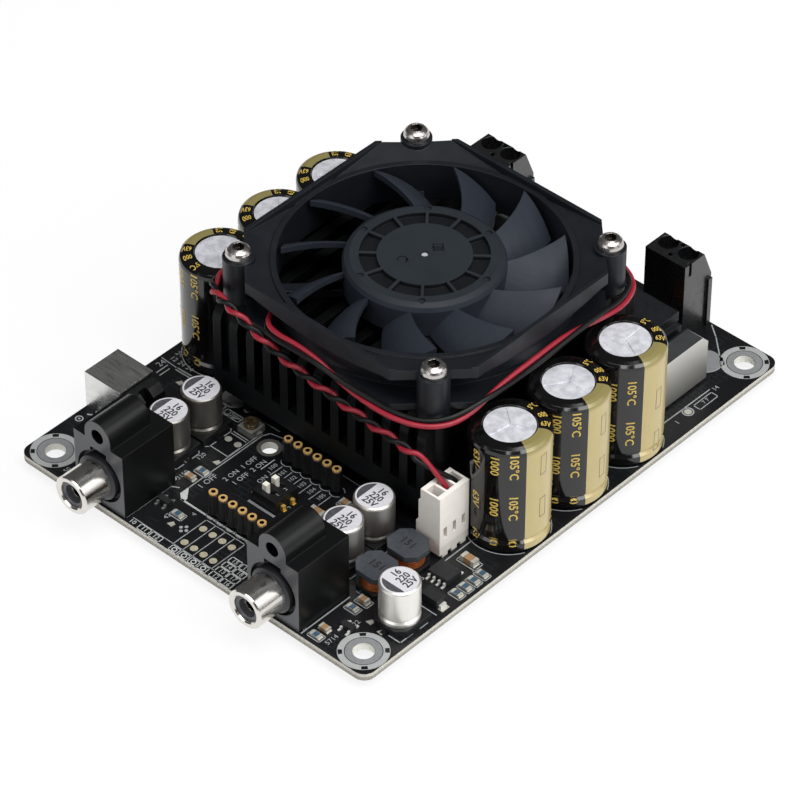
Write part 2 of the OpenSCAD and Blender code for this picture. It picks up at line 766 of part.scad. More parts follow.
module rca_shells() {
    r = rca_shell_d / 2;
    color("#d3d4d6") at_jacks() rotate_extrude() polygon([
        [r - rca_lip, 0.3 - rca_reach], [r - rca_lip + 0.3, -rca_reach], [r - 0.3, -rca_reach],
        [r, 0.3 - rca_reach], [r, -1], [r + 0.7, -0.6], [r + 0.7, rca_recess_h], [r, rca_recess_h],
        [r, rca_shell_in], [r - rca_wall, rca_shell_in], [r - rca_wall, rca_lip_l - rca_reach],
        [r - rca_lip, rca_lip_l - rca_reach]
    ]);
}

module rca_inserts() {
    d = rca_shell_d - 2 * rca_wall;
    color("#3a3c3f") at_jacks() difference() {
        translate([0, 0, rca_lip_l - rca_reach]) cylinder(d = d, h = rca_reach + rca_shell_in - rca_lip_l);
        translate([0, 0, -rca_reach]) cylinder(d = 4, h = rca_reach + rca_shell_in - 2);
    }
}

module rca_contacts() {
    color("#b9a05c") at_jacks() translate([0, 0, 2 - rca_reach]) ring(4, 3.3, rca_reach + rca_shell_in - 4);
}

// Power jack

module power_jack_shield() {
    color("#b4b7ba") translate([jack_front, jack_y, top]) difference() {
        translate([0, -jack_w / 2, 0]) cube([jack_l, jack_w, jack_h]);
        translate([sheet_t, sheet_t - jack_w / 2, -eps])
            cube([jack_l, jack_w - 2 * sheet_t, jack_h - sheet_t]);
        translate([-eps, 0, jack_h / 2]) rotate([0, 90, 0]) cylinder(d = jack_d + 0.6, h = 1);
    }
}

module power_jack_body() {
    inner = jack_w - 2 * sheet_t - 0.04;
    color("#1c1d1f") translate([jack_front + sheet_t, jack_y, top]) difference() {
        union() {
            translate([0, -inner / 2, 0]) cube([jack_l - sheet_t, inner, jack_h - sheet_t - 0.02]);
            translate([jack_l - sheet_t - eps, 0, 0]) rotate([90, 0, 0])
                linear_extrude(inner, center = true) polygon([
                    [0, 0], [jack_body_l, 0], [jack_body_l, jack_h - 2.6],
                    [jack_body_l - 1.4, jack_h - 1.2], [0, jack_h - 1.2]
                ]);
        }
        translate([-eps, 0, jack_h / 2]) rotate([0, 90, 0]) {
            cylinder(d = jack_d, h = 8);
            cylinder(d = 2.04, h = 8.5);
        }
        translate([jack_l - sheet_t + 1.2, -1, 2]) cube([jack_body_l, 2, jack_h]);
    }
}

module power_jack_pin() {
    color("#c9a24b") translate([jack_front + 2, jack_y, top + jack_h / 2]) rotate([0, 90, 0])
        rotate_extrude($fn = 32) polygon([
            [0, 0], [0.7, 0], [1, 0.5], [1, 6.4 + sheet_t], [0, 6.4 + sheet_t]
        ]);
}

// Loudspeaker terminals

module block_outline() {
    polygon([[0, 0], [block_y, 0], [block_y, 12.7], [block_y - 2.5, block_h], [0, block_h]]);
}

module terminal_block(k) {
    tunnel_x = clamp_x + 2 * slide_gap;
    color("#202225") translate([block_spots[k], block_front, top]) difference() {
        union() {
            side_extrude(block_x) block_outline();
            translate([block_x / 2 - eps, block_y - 1.4, 0]) cube([0.6, 1.1, 12]);
        }
        translate([-block_x / 2 - eps, block_y - 1.5, -eps]) cube([0.7, 1.3, 12.2]);
        translate([block_x / 2 - 0.6, 1.2, block_h - 3]) cube([1, 0.8, 4]);
        for (y = [0.9, 4.8]) translate([0, y + 0.5, block_h - 2]) box(1, 0.9, 3);
        for (s = [-1, 1]) translate([s * block_pitch / 2, screw_y - block_front, -top]) {
            translate([0, 0, head_z]) cylinder(d = clamp_screw_d + 0.5, h = 20);
            translate([0, 0, tunnel_z]) cylinder(d = 2.8, h = 12);
            translate([-tunnel_x / 2, -clamp_y / 2 - slide_gap, tunnel_z]) cube([tunnel_x, 20, tunnel_h]);
        }
    }
}

function clamp_spot(k) = [block_spots[floor(k / 2)] + (k % 2 * 2 - 1) * block_pitch / 2, screw_y];

module terminal_screw(k) {
    tip = clamp_rest + clamp_z - 1.5;
    color("#c6c8ca") translate(clamp_spot(k)) difference() {
        union() {
            translate([0, 0, head_z + run_gap]) cylinder(d = clamp_screw_d, h = 1.8);
            translate([0, 0, tip]) cylinder(d = 2.5, h = head_z - tip + 0.5);
        }
        translate([0, 0, head_z + 0.9]) box(clamp_screw_d + 1, 0.6, 2);
    }
}

module terminal_clamp(k) {
    color("#bfa35a") translate([clamp_spot(k).x, clamp_spot(k).y, clamp_rest]) difference() {
        box(clamp_x, clamp_y, clamp_z);
        translate([0, 0, 0.8]) box(2.5, clamp_y + 1, clamp_z - 1.8);
        translate([0, 0, 1]) cylinder(d = 2.7, h = clamp_z);
    }
}

// Output chokes

module choke_half(k) {
    translate([choke_x[k], choke_mid, top]) mirror([k, 0, 0]) children();
}

module at_rod(x) {
    translate([x, choke_axis_y, choke_h / 2]) rotate([0, 90, 0]) children();
}

module choke_cores() {
    w = (choke_y1 - choke_y0) / 2;
    cut = 1.8;
    color("#8e9092") for (k = [0, 1]) choke_half(k) {
        rotate([90, 0, 90]) linear_extrude(choke_core_x) polygon([
            [-w, 0.5], [w, 0.5], [w, choke_h - cut],
            [w - cut, choke_h], [cut - w, choke_h], [-w, choke_h - cut]
        ]);
        at_rod(-choke_rod_l) cylinder(d = choke_rod_d, h = choke_rod_l + 1);
    }
}

module choke_bobbins() {
    w = choke_y1 - choke_y0 - 1;
    back = choke_y1 - choke_mid;
    bore = choke_rod_d + 0.1;
    color("#1f2123") for (k = [0, 1]) choke_half(k) difference() {
        union() {
            translate([-0.1 - choke_block_x, -w / 2, 0]) cube([choke_block_x, w, choke_h - 1]);
            at_rod(-choke_reach) cylinder(d = bore + 1.4, h = choke_reach - 1);
            translate([-choke_reach, choke_axis_y - choke_coil_d / 2 - 0.4, 0])
                cube([1.2, choke_coil_d + 0.8, choke_h - 0.9]);
            translate([-choke_reach, back - shelf_y, choke_h - 1])
                cube([choke_reach - 3.6, shelf_y, shelf_t]);
        }
        at_rod(-choke_reach + 1.1) cylinder(d = bore, h = choke_reach);
        translate([-2.4, -w / 2 - 1, choke_h - 3]) cube([1.2, w + 2, 4]);
    }
}

module choke_windings() {
    gap = 0.02;
    color("#b06a35") for (k = [0, 1]) choke_half(k) at_rod(1.2 + gap - choke_reach)
        ring(choke_coil_d, choke_rod_d + 1.5 + 2 * gap, choke_reach - 1.2 - choke_block_x - 0.1 - 2 * gap);
}

// Drum inductors

module octagon(x, y, cut) {
    polygon([
        [-x / 2, cut - y / 2], [cut - x / 2, -y / 2], [x / 2 - cut, -y / 2], [x / 2, cut - y / 2],
        [x / 2, y / 2 - cut], [x / 2 - cut, y / 2], [cut - x / 2, y / 2], [-x / 2, y / 2 - cut]
    ]);
}

module drum_cores() {
    color("#6c7076") for (p = drum_spots) translate([p.x, p.y, top]) {
        linear_extrude(1) octagon(drum_x, drum_y, 1.8);
        cylinder(d = 4, h = drum_h);
        translate([0, 0, drum_h - 1.3]) linear_extrude(1.3) octagon(drum_x, drum_y, 1.8);
    }
}

module drum_windings() {
    color("#b4642e") for (p = drum_spots) translate([p.x, p.y, top + 1.02]) ring(6.4, 4.02, drum_h - 2.34);
}

// Module sockets

module socket_strips() {
    body_d = 2.2;
    color("#1a1b1d") for (s = [-1, 1]) translate([socket_x, socket_y + s * socket_rows / 2, top + 0.8])
        linear_extrude(socket_h - 1.2) difference() {
            union() {
                for (k = [0:5]) translate([(k - 2.5) * pin_pitch, 0]) circle(d = body_d);
                square([5 * pin_pitch, 1.2], center = true);
            }
            for (k = [0:5]) translate([(k - 2.5) * pin_pitch, 0]) circle(d = 1.5);
        }
}

module socket_contacts() {
    color("#c8a24c") for (p = socket_pins) translate([p.x, p.y, top]) rotate_extrude($fn = 32) polygon([
        [0, 0], [0.45, 0], [0.45, 0.8], [0.74, 0.8], [0.74, socket_h - 0.4], [0.9, socket_h - 0.4],
        [0.9, socket_h], [0.45, socket_h], [0.35, socket_h - 3], [0, socket_h - 3]
    ]);
}

// Two-way slide switch

module slider_slots(gap) {
    for (s = [-1, 1])
        translate([
            0.4 - slider_travel - slider_w / 2 - gap, s * pin_pitch / 2 - slider_w / 2 - gap, switch_h - 1.2
        ])
            cube([slider_travel + slider_w + 2 * gap, slider_w + 2 * gap, 3]);
}

module switch_body() {
    color("#1b1c1f") translate([switch_spot.x, switch_spot.y, top]) {
        difference() {
            translate([0, 0, 0.1]) box(switch_x, switch_y, switch_h - 0.1);
            slider_slots(slide_gap);
        }
        for (s = [-1, 1], t = [-1, 1]) translate([s * switch_x / 2, t * pin_pitch / 2, 0]) {
            translate([s * 0.3, 0, 0]) box(0.8, 0.8, 1.3);
            translate([s * 1.1, 0, 0]) box(1.2, 0.8, 0.25);
        }
    }
}

module switch_slider(k) {
    color("#e8e6df") translate([
        switch_spot.x + 0.4 - slider_travel, switch_spot.y + (2 * k - 1) * pin_pitch / 2,
        top + switch_h - 1.15
    ]) box(slider_w, slider_w, 1.15 + slider_h);
}

// Trimmer

module trimmer_base() {
    color("#8d8f90") translate([trimmer_spot.x, trimmer_spot.y, top]) {
        difference() {
            box(3.8, 3.8, 1.5);
            translate([0, 0, 0.5]) cylinder(d = 1.2 + 2 * run_gap, h = 2);
        }
        for (s = [-1, 1]) translate([s * 2.1, 0, 0]) box(0.8, 1.2, 0.8);
    }
}

module trimmer_rotor() {
    color("#c3c4c4") translate([trimmer_spot.x, trimmer_spot.y, top]) difference() {
        union() {
            translate([0, 0, 1.52]) cylinder(d = 3.1, h = 0.9);
            translate([0, 0, 0.6]) cylinder(d = 1.2, h = 1.2);
        }
        translate([0, 0, 1.9]) box(2, 0.5, 1);
        translate([0, 0, 1.9]) box(0.5, 2, 1);
    }
}

// Surface-mounted packages and small parts

module leaded_package(x, y, z, n, pitch) {
    translate([0, 0, 0.1]) box(x, y, z - 0.1);
    for (s = [-1, 1], k = [0:n - 1]) translate([(k - (n - 1) / 2) * pitch, s * y / 2, 0]) {
        translate([0, s * 0.2, 0]) box(0.42, 0.6, z * 0.55);
        translate([0, s * 0.75, 0]) box(0.42, 0.7, 0.22);
    }
}

module chip_packages() {
    color("#26282a") {
        translate([38, -30.2, top]) leaded_package(4.9, 3.9, 1.6, 4, 1.27);
        translate([-14.6, -51.2, top]) leaded_package(2.9, 1.3, 1.1, 2, 1.9);
        translate([34.4, -52.6, top]) leaded_package(2.9, 1.3, 1.1, 2, 1.9);
        translate([41, -36.7, top]) {
            box(4.2, 2.6, 2.1);
            for (s = [-1, 1]) translate([s * 2.3, 0, 0]) box(0.8, 1.6, 0.9);
        }
    }
}

// [x, y, length along X, length along Y, height]
chip_list = concat(
    [for (k = [0:3]) [board_x / 2 - 2.5, -32.3 + 2.36 * k, 2, 1.25, 0.55]],
    [
        [38.9, -24.2, 3.2, 1.6, 1.3], [9.1, -34.2, 3.2, 1.6, 1.3], [11.1, -28.5, 2, 1.25, 1],
        [31.7, -45.5, 2, 1.25, 1], [31.4, -48.2, 2, 1.25, 0.55], [31.4, -58, 2, 1.25, 0.55],
        [31.4, -55.7, 2, 1.25, 0.8], [-15.4, -40.2, 2, 1.25, 0.55], [-10.3, -52, 2, 1.25, 0.55],
        [-15.9, -43, 2, 1.25, 0.8], [26.6, -27.8, 2, 1.25, 0.55]
    ]
);

module chip_parts() {
    color("#9aa0a4") for (c = chip_list) translate([c[0], c[1], top]) box(c[2], c[3], c[4]);
}

circuit_board();
solder_joints();
heatsink();
thermal_pad();
amplifier_chip();
heatsink_screws();
fan_frame();
fan_impeller();
rotor_yoke();
rotor_magnet();
fan_shaft();
fan_bearing();
stator_core();
stator_coils();
fan_circuit();
fan_screws();
fan_lead();
plug_housing();
plug_contacts();
fan_header();
for (k = [0:5]) storage_capacitor(k);
can_capacitors();
can_bases();
for (k = [0:1]) rca_body(k);
rca_shells();
rca_inserts();
rca_contacts();
power_jack_shield();
power_jack_body();
power_jack_pin();
for (k = [0:1]) terminal_block(k);
for (k = [0:3]) terminal_screw(k);
for (k = [0:3]) terminal_clamp(k);
choke_cores();
choke_bobbins();
choke_windings();
drum_cores();
drum_windings();
socket_strips();
socket_contacts();
switch_body();
for (k = [0:1]) switch_slider(k);
trimmer_base();
trimmer_rotor();
chip_packages();
chip_parts();
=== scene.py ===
import math

import bmesh
import bpy
from mathutils import Matrix, Vector


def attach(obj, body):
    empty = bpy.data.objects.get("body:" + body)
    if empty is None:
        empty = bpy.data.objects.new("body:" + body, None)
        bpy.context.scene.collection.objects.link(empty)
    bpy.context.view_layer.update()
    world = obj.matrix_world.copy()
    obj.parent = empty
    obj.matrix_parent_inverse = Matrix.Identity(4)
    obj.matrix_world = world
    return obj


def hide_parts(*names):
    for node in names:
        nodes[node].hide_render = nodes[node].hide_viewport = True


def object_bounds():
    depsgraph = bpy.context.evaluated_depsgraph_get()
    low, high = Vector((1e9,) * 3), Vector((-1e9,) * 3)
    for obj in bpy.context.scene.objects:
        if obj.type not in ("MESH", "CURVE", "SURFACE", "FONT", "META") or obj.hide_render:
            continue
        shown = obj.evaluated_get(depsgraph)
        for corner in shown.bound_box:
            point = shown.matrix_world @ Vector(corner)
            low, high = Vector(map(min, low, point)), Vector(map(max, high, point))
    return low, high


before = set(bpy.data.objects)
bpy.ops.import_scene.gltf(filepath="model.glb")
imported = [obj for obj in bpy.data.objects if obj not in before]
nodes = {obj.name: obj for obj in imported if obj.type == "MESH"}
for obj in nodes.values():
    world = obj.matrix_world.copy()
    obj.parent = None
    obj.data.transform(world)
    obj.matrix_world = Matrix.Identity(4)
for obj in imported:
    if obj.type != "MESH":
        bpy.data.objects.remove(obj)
cad_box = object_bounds()
scene = bpy.context.scene
scene.view_settings.view_transform = "Standard"


# Places and sizes in the frame, in millimetres

MM = 0.001
BOARD_TOP = 1.6
FIXINGS = [(x, y) for x in (-40.5, 40.5) for y in (-55, 55)]
MODULE_HOLE = (-10.8, -26.5)
SOCKET_X = [1 + (k - 2.5) * 2.54 for k in range(6)]
SOCKET_Y = (-47.275, -26.825)
FAN_Y = 5.74
FAN_SCREWS = [(x, FAN_Y + y) for x in (-25, 25) for y in (-25, 25)]
SCREW_TOP = 39.4
HUB_TOP = 36.5
CAPS = [(37.3, -11.65), (37.3, 4.8), (37.3, 21.25), (-37.3, -11.95), (-37.3, 4.5), (-37.3, 20.95)]
CAP_R = 8.15
CAP_TALL = 25.5
CAP_TOP = BOARD_TOP + CAP_TALL
PAIRED_CANS = [(-24.3, -39.9), (-24.3, -31.1), (20.9, -39.6), (20.9, -31)]
LONE_CAN = (39.9, -44.6)
CAN_TOP = 11.9
DRUMS = [(30.3, -40.4), (30.5, -32)]
DRUM_TOP = 6.6
SWITCH_TOP = 4.5


# Camera

CAMERA_TURN, CAMERA_RISE, CAMERA_ROLL = (math.radians(v) for v in (42.520, 41.271, 0.1247))
CAMERA_LENS = 199.365
CAMERA_PLACE = Vector((0.43677, -0.47745, 0.57108))


def place_camera():
    level = math.cos(CAMERA_RISE)
    back = Vector((math.sin(CAMERA_TURN) * level, -math.cos(CAMERA_TURN) * level, math.sin(CAMERA_RISE)))
    right = Vector((math.cos(CAMERA_TURN), math.sin(CAMERA_TURN), 0))
    up = back.cross(right)
    across = math.cos(CAMERA_ROLL) * right + math.sin(CAMERA_ROLL) * up
    upward = -math.sin(CAMERA_ROLL) * right + math.cos(CAMERA_ROLL) * up
    data = bpy.data.cameras.new("camera")
    data.lens = CAMERA_LENS
    data.sensor_width = 36
    data.clip_start = 0.05
    data.clip_end = 50
    camera = bpy.data.objects.new("camera", data)
    scene.collection.objects.link(camera)
    pose = Matrix((across, upward, back)).transposed().to_4x4()
    pose.translation = CAMERA_PLACE
    camera.matrix_world = pose
    scene.camera = camera


place_camera()


# Materials

RELIEF_DEPTH = 0.04
EVEN = (1, 1, 1)
# Radians that the wave texture runs through in one unit of length
WAVE_RATE = 20


def tone(r, g, b):
    """A linear colour from screen values of 0 to 255."""
    out = []
    for v in (r, g, b):
        v = v / 255
        out.append(v / 12.92 if v <= 0.04045 else ((v + 0.055) / 1.055) ** 2.4)
    return (out[0], out[1], out[2], 1)


def shade(colour, factor):
    return tuple(min(1, c * factor) for c in colour[:3]) + (1,)


class Look:
    """A material and the nodes that feed its shader. Lengths are in millimetres."""

    def __init__(self, name):
        self.material = bpy.data.materials.new(name)
        self.material.use_nodes = True
        self.tree = self.material.node_tree
        self.tree.nodes.clear()
        self.shader = self.add("ShaderNodeBsdfPrincipled")
        out = self.add("ShaderNodeOutputMaterial")
        self.tree.links.new(self.shader.outputs[0], out.inputs["Surface"])
        self.place = self.add("ShaderNodeTexCoord").outputs["Object"]

    def add(self, kind):
        return self.tree.nodes.new(kind)

    def put(self, value, socket):
        if isinstance(value, bpy.types.NodeSocket):
            self.tree.links.new(value, socket)
        else:
            socket.default_value = value

    def set(self, name, value):
        self.put(value, self.shader.inputs[name])

    def paint(self, colour, rough, metal=0.0, shine=0.5):
        self.set("Base Color", colour)
        self.set("Roughness", rough)
        self.set("Metallic", metal)
        self.set("Specular IOR Level", shine)

    def math(self, kind, a, b=0.0):
        node = self.add("ShaderNodeMath")
        node.operation = kind
        self.put(a, node.inputs[0])
        self.put(b, node.inputs[1])
        return node.outputs[0]

    def mix(self, share, a, b):
        node = self.add("ShaderNodeMix")
        node.data_type = "RGBA"
        self.put(share, node.inputs[0])
        self.put(a, node.inputs[6])
        self.put(b, node.inputs[7])
        return node.outputs[2]

    def range(self, value, low, high, to_low=0, to_high=1):
        node = self.add("ShaderNodeMapRange")
        for socket, v in zip(node.inputs, (value, low, high, to_low, to_high)):
            self.put(v, socket)
        return node.outputs[0]

    def pick(self, mask, off, on):
        """One number where the mask is nought, another where it is one."""
        return self.range(mask, 0, 1, off, on)

    def noise(self, size, detail=3.0, stretch=EVEN):
        place = self.place
        if stretch != EVEN:
            node = self.add("ShaderNodeMapping")
            self.put(self.place, node.inputs["Vector"])
            node.inputs["Scale"].default_value = stretch
            place = node.outputs[0]
        node = self.add("ShaderNodeTexNoise")
        self.put(place, node.inputs["Vector"])
        node.inputs["Scale"].default_value = 1 / (size * MM)
        node.inputs["Detail"].default_value = detail
        return node.outputs["Fac"]

    def uneven(self, size, low, high, detail=4.0, stretch=EVEN):
        """A number that wanders between two levels."""
        return self.range(self.noise(size, detail, stretch), 0.3, 0.7, low, high)

    def axes(self):
        node = self.add("ShaderNodeSeparateXYZ")
        self.put(self.place, node.inputs[0])
        return node.outputs

    def facing(self):
        node = self.add("ShaderNodeSeparateXYZ")
        self.put(self.add("ShaderNodeTexCoord").outputs["Normal"], node.inputs[0])
        return node.outputs

    def above(self, axis, limit):
        return self.math("GREATER_THAN", self.axes()[axis], limit * MM)

    def below(self, axis, limit):
        return self.math("LESS_THAN", self.axes()[axis], limit * MM)

    def climb(self, axis, low, high):
        """From nought to one between two places on an axis."""
        return self.range(self.axes()[axis], low * MM, high * MM)

    def disc(self, x, y, r):
        """One inside a radius round a vertical axis, nought outside."""
        at = self.axes()
        dx = self.math("SUBTRACT", at[0], x * MM)
        dy = self.math("SUBTRACT", at[1], y * MM)
        square = self.math("ADD", self.math("MULTIPLY", dx, dx), self.math("MULTIPLY", dy, dy))
        return self.math("LESS_THAN", self.math("SQRT", square), r * MM)

    def box(self, x, y, half_x, half_y):
        """One inside an upright box, nought outside."""
        at = self.axes()
        dx = self.math("ABSOLUTE", self.math("SUBTRACT", at[0], x * MM))
        dy = self.math("ABSOLUTE", self.math("SUBTRACT", at[1], y * MM))
        within_x = self.math("LESS_THAN", dx, half_x * MM)
        within_y = self.math("LESS_THAN", dy, half_y * MM)
        return self.math("MULTIPLY", within_x, within_y)

    def any_of(self, masks):
        total = masks[0]
        for mask in masks[1:]:
            total = self.math("MAXIMUM", total, mask)
        return total

    def discs(self, spots):
        return self.any_of([self.disc(x, y, r) for x, y, r in spots])

    def relief(self, grain, strength, edge=0.0, stretch=EVEN):
        """A fine bump, over edges that look rounded by a radius."""
        bump = self.add("ShaderNodeBump")
        bump.inputs["Strength"].default_value = strength
        bump.inputs["Distance"].default_value = RELIEF_DEPTH * MM
        self.put(self.noise(grain, 2.0, stretch), bump.inputs["Height"])
        if edge:
            soft = self.add("ShaderNodeBevel")
            soft.samples = 4
            soft.inputs["Radius"].default_value = edge * MM
            self.put(soft.outputs[0], bump.inputs["Normal"])
        self.set("Normal", bump.outputs[0])


def mottled(look, colour, spread, size):
    return look.mix(look.uneven(size, 0, 1, 3.0), shade(colour, 1 - spread), shade(colour, 1 + spread))


def surface(name, colour, rough, metal=0.0, spread=0.12, size=3.0, grain=0.12, bump=0.15, edge=0.0,
            stretch=EVEN, swing=0.06, shine=0.5):
    """A plain material: mottled colour, uneven gloss and a fine bump."""
    look = Look(name)
    gloss = look.uneven(size * 0.4, rough - swing, rough + swing, stretch=stretch)
    look.paint(mottled(look, colour, spread, size), gloss, metal, shine)
    look.relief(grain, bump, edge, stretch)
    return look.material


def board_look():
    """Black mask with faint tracks, laminate in two plies on the edges, and hole barrels painted near white
    as light.
    """
    look = Look("board_mask")
    face = look.range(look.math("ABSOLUTE", look.facing()[2]), 0.5, 0.6)
    tracks = look.add("ShaderNodeTexBrick")
    look.put(look.place, tracks.inputs["Vector"])
    tracks.inputs["Scale"].default_value = 210
    tracks.inputs["Mortar Size"].default_value = 0.035
    tracks.inputs["Mortar Smooth"].default_value = 0.3
    tracks.offset = 0.37
    tracks.squash = 1.7
    broken = look.math("MULTIPLY", tracks.outputs["Fac"], look.range(look.noise(7, 1.0), 0.5, 0.56))
    mask = mottled(look, tone(12, 13, 16), 0.25, 6)
    mask = look.mix(look.math("MULTIPLY", broken, 0.6), mask, tone(34, 37, 40))
    weave = look.range(look.noise(0.5, 2.0, (1, 1, 4)), 0.35, 0.65)
    lower = look.mix(weave, tone(122, 120, 112), tone(170, 167, 158))
    upper = look.mix(weave, tone(168, 166, 157), tone(216, 213, 203))
    edge = look.mix(look.climb(2, 0.7, 0.95), lower, upper)
    # Painted light: the hole barrels are painted near white, standing for the bright floor seen through the
    # holes.
    barrels = look.discs([(x, y, 2.4) for x, y in FIXINGS] + [(*MODULE_HOLE, 2.1)])
    edge = look.mix(barrels, edge, tone(238, 238, 230))
    look.paint(look.mix(face, edge, mask), look.pick(face, 0.75, 0.36))
    look.relief(0.3, 0.12, 0.12)
    return look.material


def sleeve_look(name, x, y):
    """A glossy black sleeve with the bare aluminium disc on top."""
    look = Look(name)
    disc = look.math("MULTIPLY", look.disc(x, y, 4.98), look.above(2, CAP_TOP - 0.8))
    stain = look.range(look.noise(1.6, 5.0), 0.35, 0.65)
    metal = look.mix(stain, tone(204, 205, 212), tone(238, 239, 245))
    colour = look.mix(disc, mottled(look, tone(10, 9, 9), 0.15, 4), metal)
    look.paint(colour, look.pick(disc, 0.1, 0.46), look.math("MULTIPLY", disc, 0.35), 0.65)
    look.relief(0.5, 0.06, 0.12)
    return look.material


def jack_look():
    """Black plastic, with a painted reflection that turns the front face grey."""
    look = Look("jack_body")
    # Painted reflection: faces turned to the front are painted grey.
    front = look.math("LESS_THAN", look.facing()[1], -0.9)
    colour = look.mix(front, mottled(look, tone(8, 9, 10), 0.15, 3), tone(80, 81, 84))
    look.paint(colour, look.pick(front, 0.34, 0.28), shine=0.35)
    look.relief(0.16, 0.12, 0.25)
    return look.material


def shell_look():
    """Bright nickel, with painted shade that darkens the flange at the jack's face in its recess."""
    look = Look("shell")
    # Painted shade: the flange in its recess is painted dark grey.
    flange = look.above(1, -60.56)
    colour = look.mix(flange, mottled(look, tone(222, 219, 213), 0.03, 2), tone(52, 52, 55))
    look.paint(colour, look.pick(flange, 0.18, 0.35), look.pick(flange, 1, 0.5))
    look.relief(0.3, 0.04, 0.15)
    return look.material


def can_look():
    """Pale flat tops over satin sides.

    Painted shade darkens the right pair towards the board and the left pair to grey; painted light whitens
    the lone can.
    """
    look = Look("can")
    flat = look.range(look.facing()[2], 0.9, 0.97)
    # Painted shade: the sides darken towards the board and the left pair more; the lone can is painted a lit
    # white.
    side = look.mix(look.climb(2, 3, 11.2), tone(104, 102, 97), tone(214, 211, 205))
    side = look.mix(look.below(0, 0), side, shade(tone(150, 147, 141), 0.8))
    side = look.mix(look.above(0, 30), side, mottled(look, tone(240, 238, 232), 0.02, 2))
    colour = look.mix(flat, side, mottled(look, tone(217, 216, 221), 0.06, 0.7))
    look.paint(colour, look.pick(flat, 0.36, 0.5), look.pick(flat, 0.9, 0.15))
    look.relief(0.4, 0.03, 0.12)
    return look.material


def drum_look():
    """Ferrite, with painted shade that darkens the lower flange."""
    look = Look("drum_core")
    # Painted shade: below the upper flange the ferrite is painted darker.
    colour = look.mix(look.above(2, 4.2), tone(22, 24, 26), mottled(look, tone(66, 70, 76), 0.14, 0.8))
    look.paint(colour, look.uneven(0.5, 0.36, 0.5), 0.2)
    look.relief(0.1, 0.3, 0.3)
    return look.material


def package_look():
    """Dark bodies with tinned leads; painted shade darkens the leads on the left of the board."""
    look = Look("packages")
    bodies = [(38, -30.2, 2.46, 1.96), (-14.6, -51.2, 1.46, 0.66), (34.4, -52.6, 1.46, 0.66),
              (41, -36.7, 2.12, 1.32)]
    body = look.any_of([look.box(*b) for b in bodies])
    # Painted shade: leads on the left half of the board are painted a dim grey.
    leads = look.mix(look.below(0, 0), mottled(look, tone(226, 225, 220), 0.06, 0.6), tone(128, 130, 126))
    colour = look.mix(body, leads, mottled(look, tone(22, 23, 25), 0.15, 0.8))
    look.paint(colour, look.pick(body, 0.25, 0.55), look.pick(body, 0.4, 0))
    look.relief(0.08, 0.3, 0.08)
    return look.material


def switch_look():
    """A black body with gilt legs."""
    look = Look("switch_body")
    body = look.box(0.15, -36.3, 3.02, 3.2)
    legs = mottled(look, tone(222, 182, 92), 0.1, 0.6)
    colour = look.mix(body, legs, mottled(look, tone(14, 15, 17), 0.15, 1))
    look.paint(colour, look.pick(body, 0.25, 0.42), look.pick(body, 0.5, 0))
    look.relief(0.1, 0.2, 0.12)
    return look.material


def blade_look():
    """Black plastic, with painted shade in the ring groove on the hub and a painted highlight in the pit at
    its middle.
    """
    look = Look("fan_blades")
    ring = look.math("SUBTRACT", look.disc(0, FAN_Y, 12.6), look.disc(0, FAN_Y, 9.2))
    groove = look.math("MULTIPLY", ring, look.below(2, HUB_TOP - 0.3))
    pit = look.math("MULTIPLY", look.disc(0, FAN_Y, 0.62), look.below(2, HUB_TOP - 0.1))
    blades = mottled(look, tone(41, 46, 54), 0.08, 8)
    hub = mottled(look, tone(37, 42, 47), 0.08, 8)
    colour = look.mix(look.disc(0, FAN_Y, 15.4), blades, hub)
    # Painted shade in the hub's ring groove, and a painted highlight in the pit at its middle.
    colour = look.mix(groove, colour, tone(17, 20, 23))
    colour = look.mix(pit, colour, tone(172, 174, 176))
    look.paint(colour, look.uneven(3, 0.46, 0.56), shine=0.2)
    look.relief(0.1, 0.12, 0.2)
    return look.material


def heatsink_look():
    """Black anodised, a little paler on the fin ends."""
    look = Look("heatsink")
    ends = look.math("GREATER_THAN", look.math("ABSOLUTE", look.facing()[1]), 0.9)
    colour = look.mix(ends, mottled(look, tone(4, 5, 5), 0.15, 5), mottled(look, tone(19, 21, 23), 0.2, 4))
    look.paint(colour, look.uneven(2, 0.44, 0.56), shine=0.14)
    look.relief(0.1, 0.25, 0.25)
    return look.material


def core_look():
    """Metal walls with painted shade that darkens them towards the board, dark on top."""
    look = Look("choke_core")
    flat = look.range(look.facing()[2], 0.6, 0.8)
    # Painted shade: the walls are painted darker towards the board.
    wall = look.mix(look.climb(2, 2, 14), tone(138, 137, 131), tone(212, 211, 206))
    colour = look.mix(flat, wall, mottled(look, tone(58, 60, 61), 0.08, 2))
    look.paint(colour, look.uneven(1, 0.36, 0.44), look.pick(flat, 0.6, 0.1))
    look.relief(0.14, 0.06, 0.2)
    return look.material


def stripe_look():
    """The printed gold band, with painted shade that turns it olive on the shoulder."""
    look = Look("gold_stripe")
    # Painted shade: the band is painted darker where it rounds the shoulder.
    shoulder = look.climb(2, CAP_TOP - 1.6, CAP_TOP - 0.8)
    colour = look.mix(shoulder, mottled(look, tone(184, 168, 118), 0.02, 3), tone(140, 130, 82))
    look.paint(colour, look.uneven(1.2, 0.22, 0.27), 0.1)
    look.relief(0.6, 0.03)
    return look.material


def screw_look():
    """Stainless dome heads, with painted shade in the sockets."""
    look = Look("fan_screws")
    spots = look.discs([(x, y, 1.29) for x, y in FAN_SCREWS])
    # Painted shade: the steel inside each socket recess is painted dark.
    socket = look.math("MULTIPLY", spots, look.below(2, SCREW_TOP - 0.04))
    colour = look.mix(socket, mottled(look, tone(200, 195, 191), 0.03, 0.8), tone(84, 80, 76))
    look.paint(colour, look.uneven(0.5, 0.24, 0.3, 3.0), 1.0)
    look.relief(0.3, 0.02, 0.1)
    return look.material


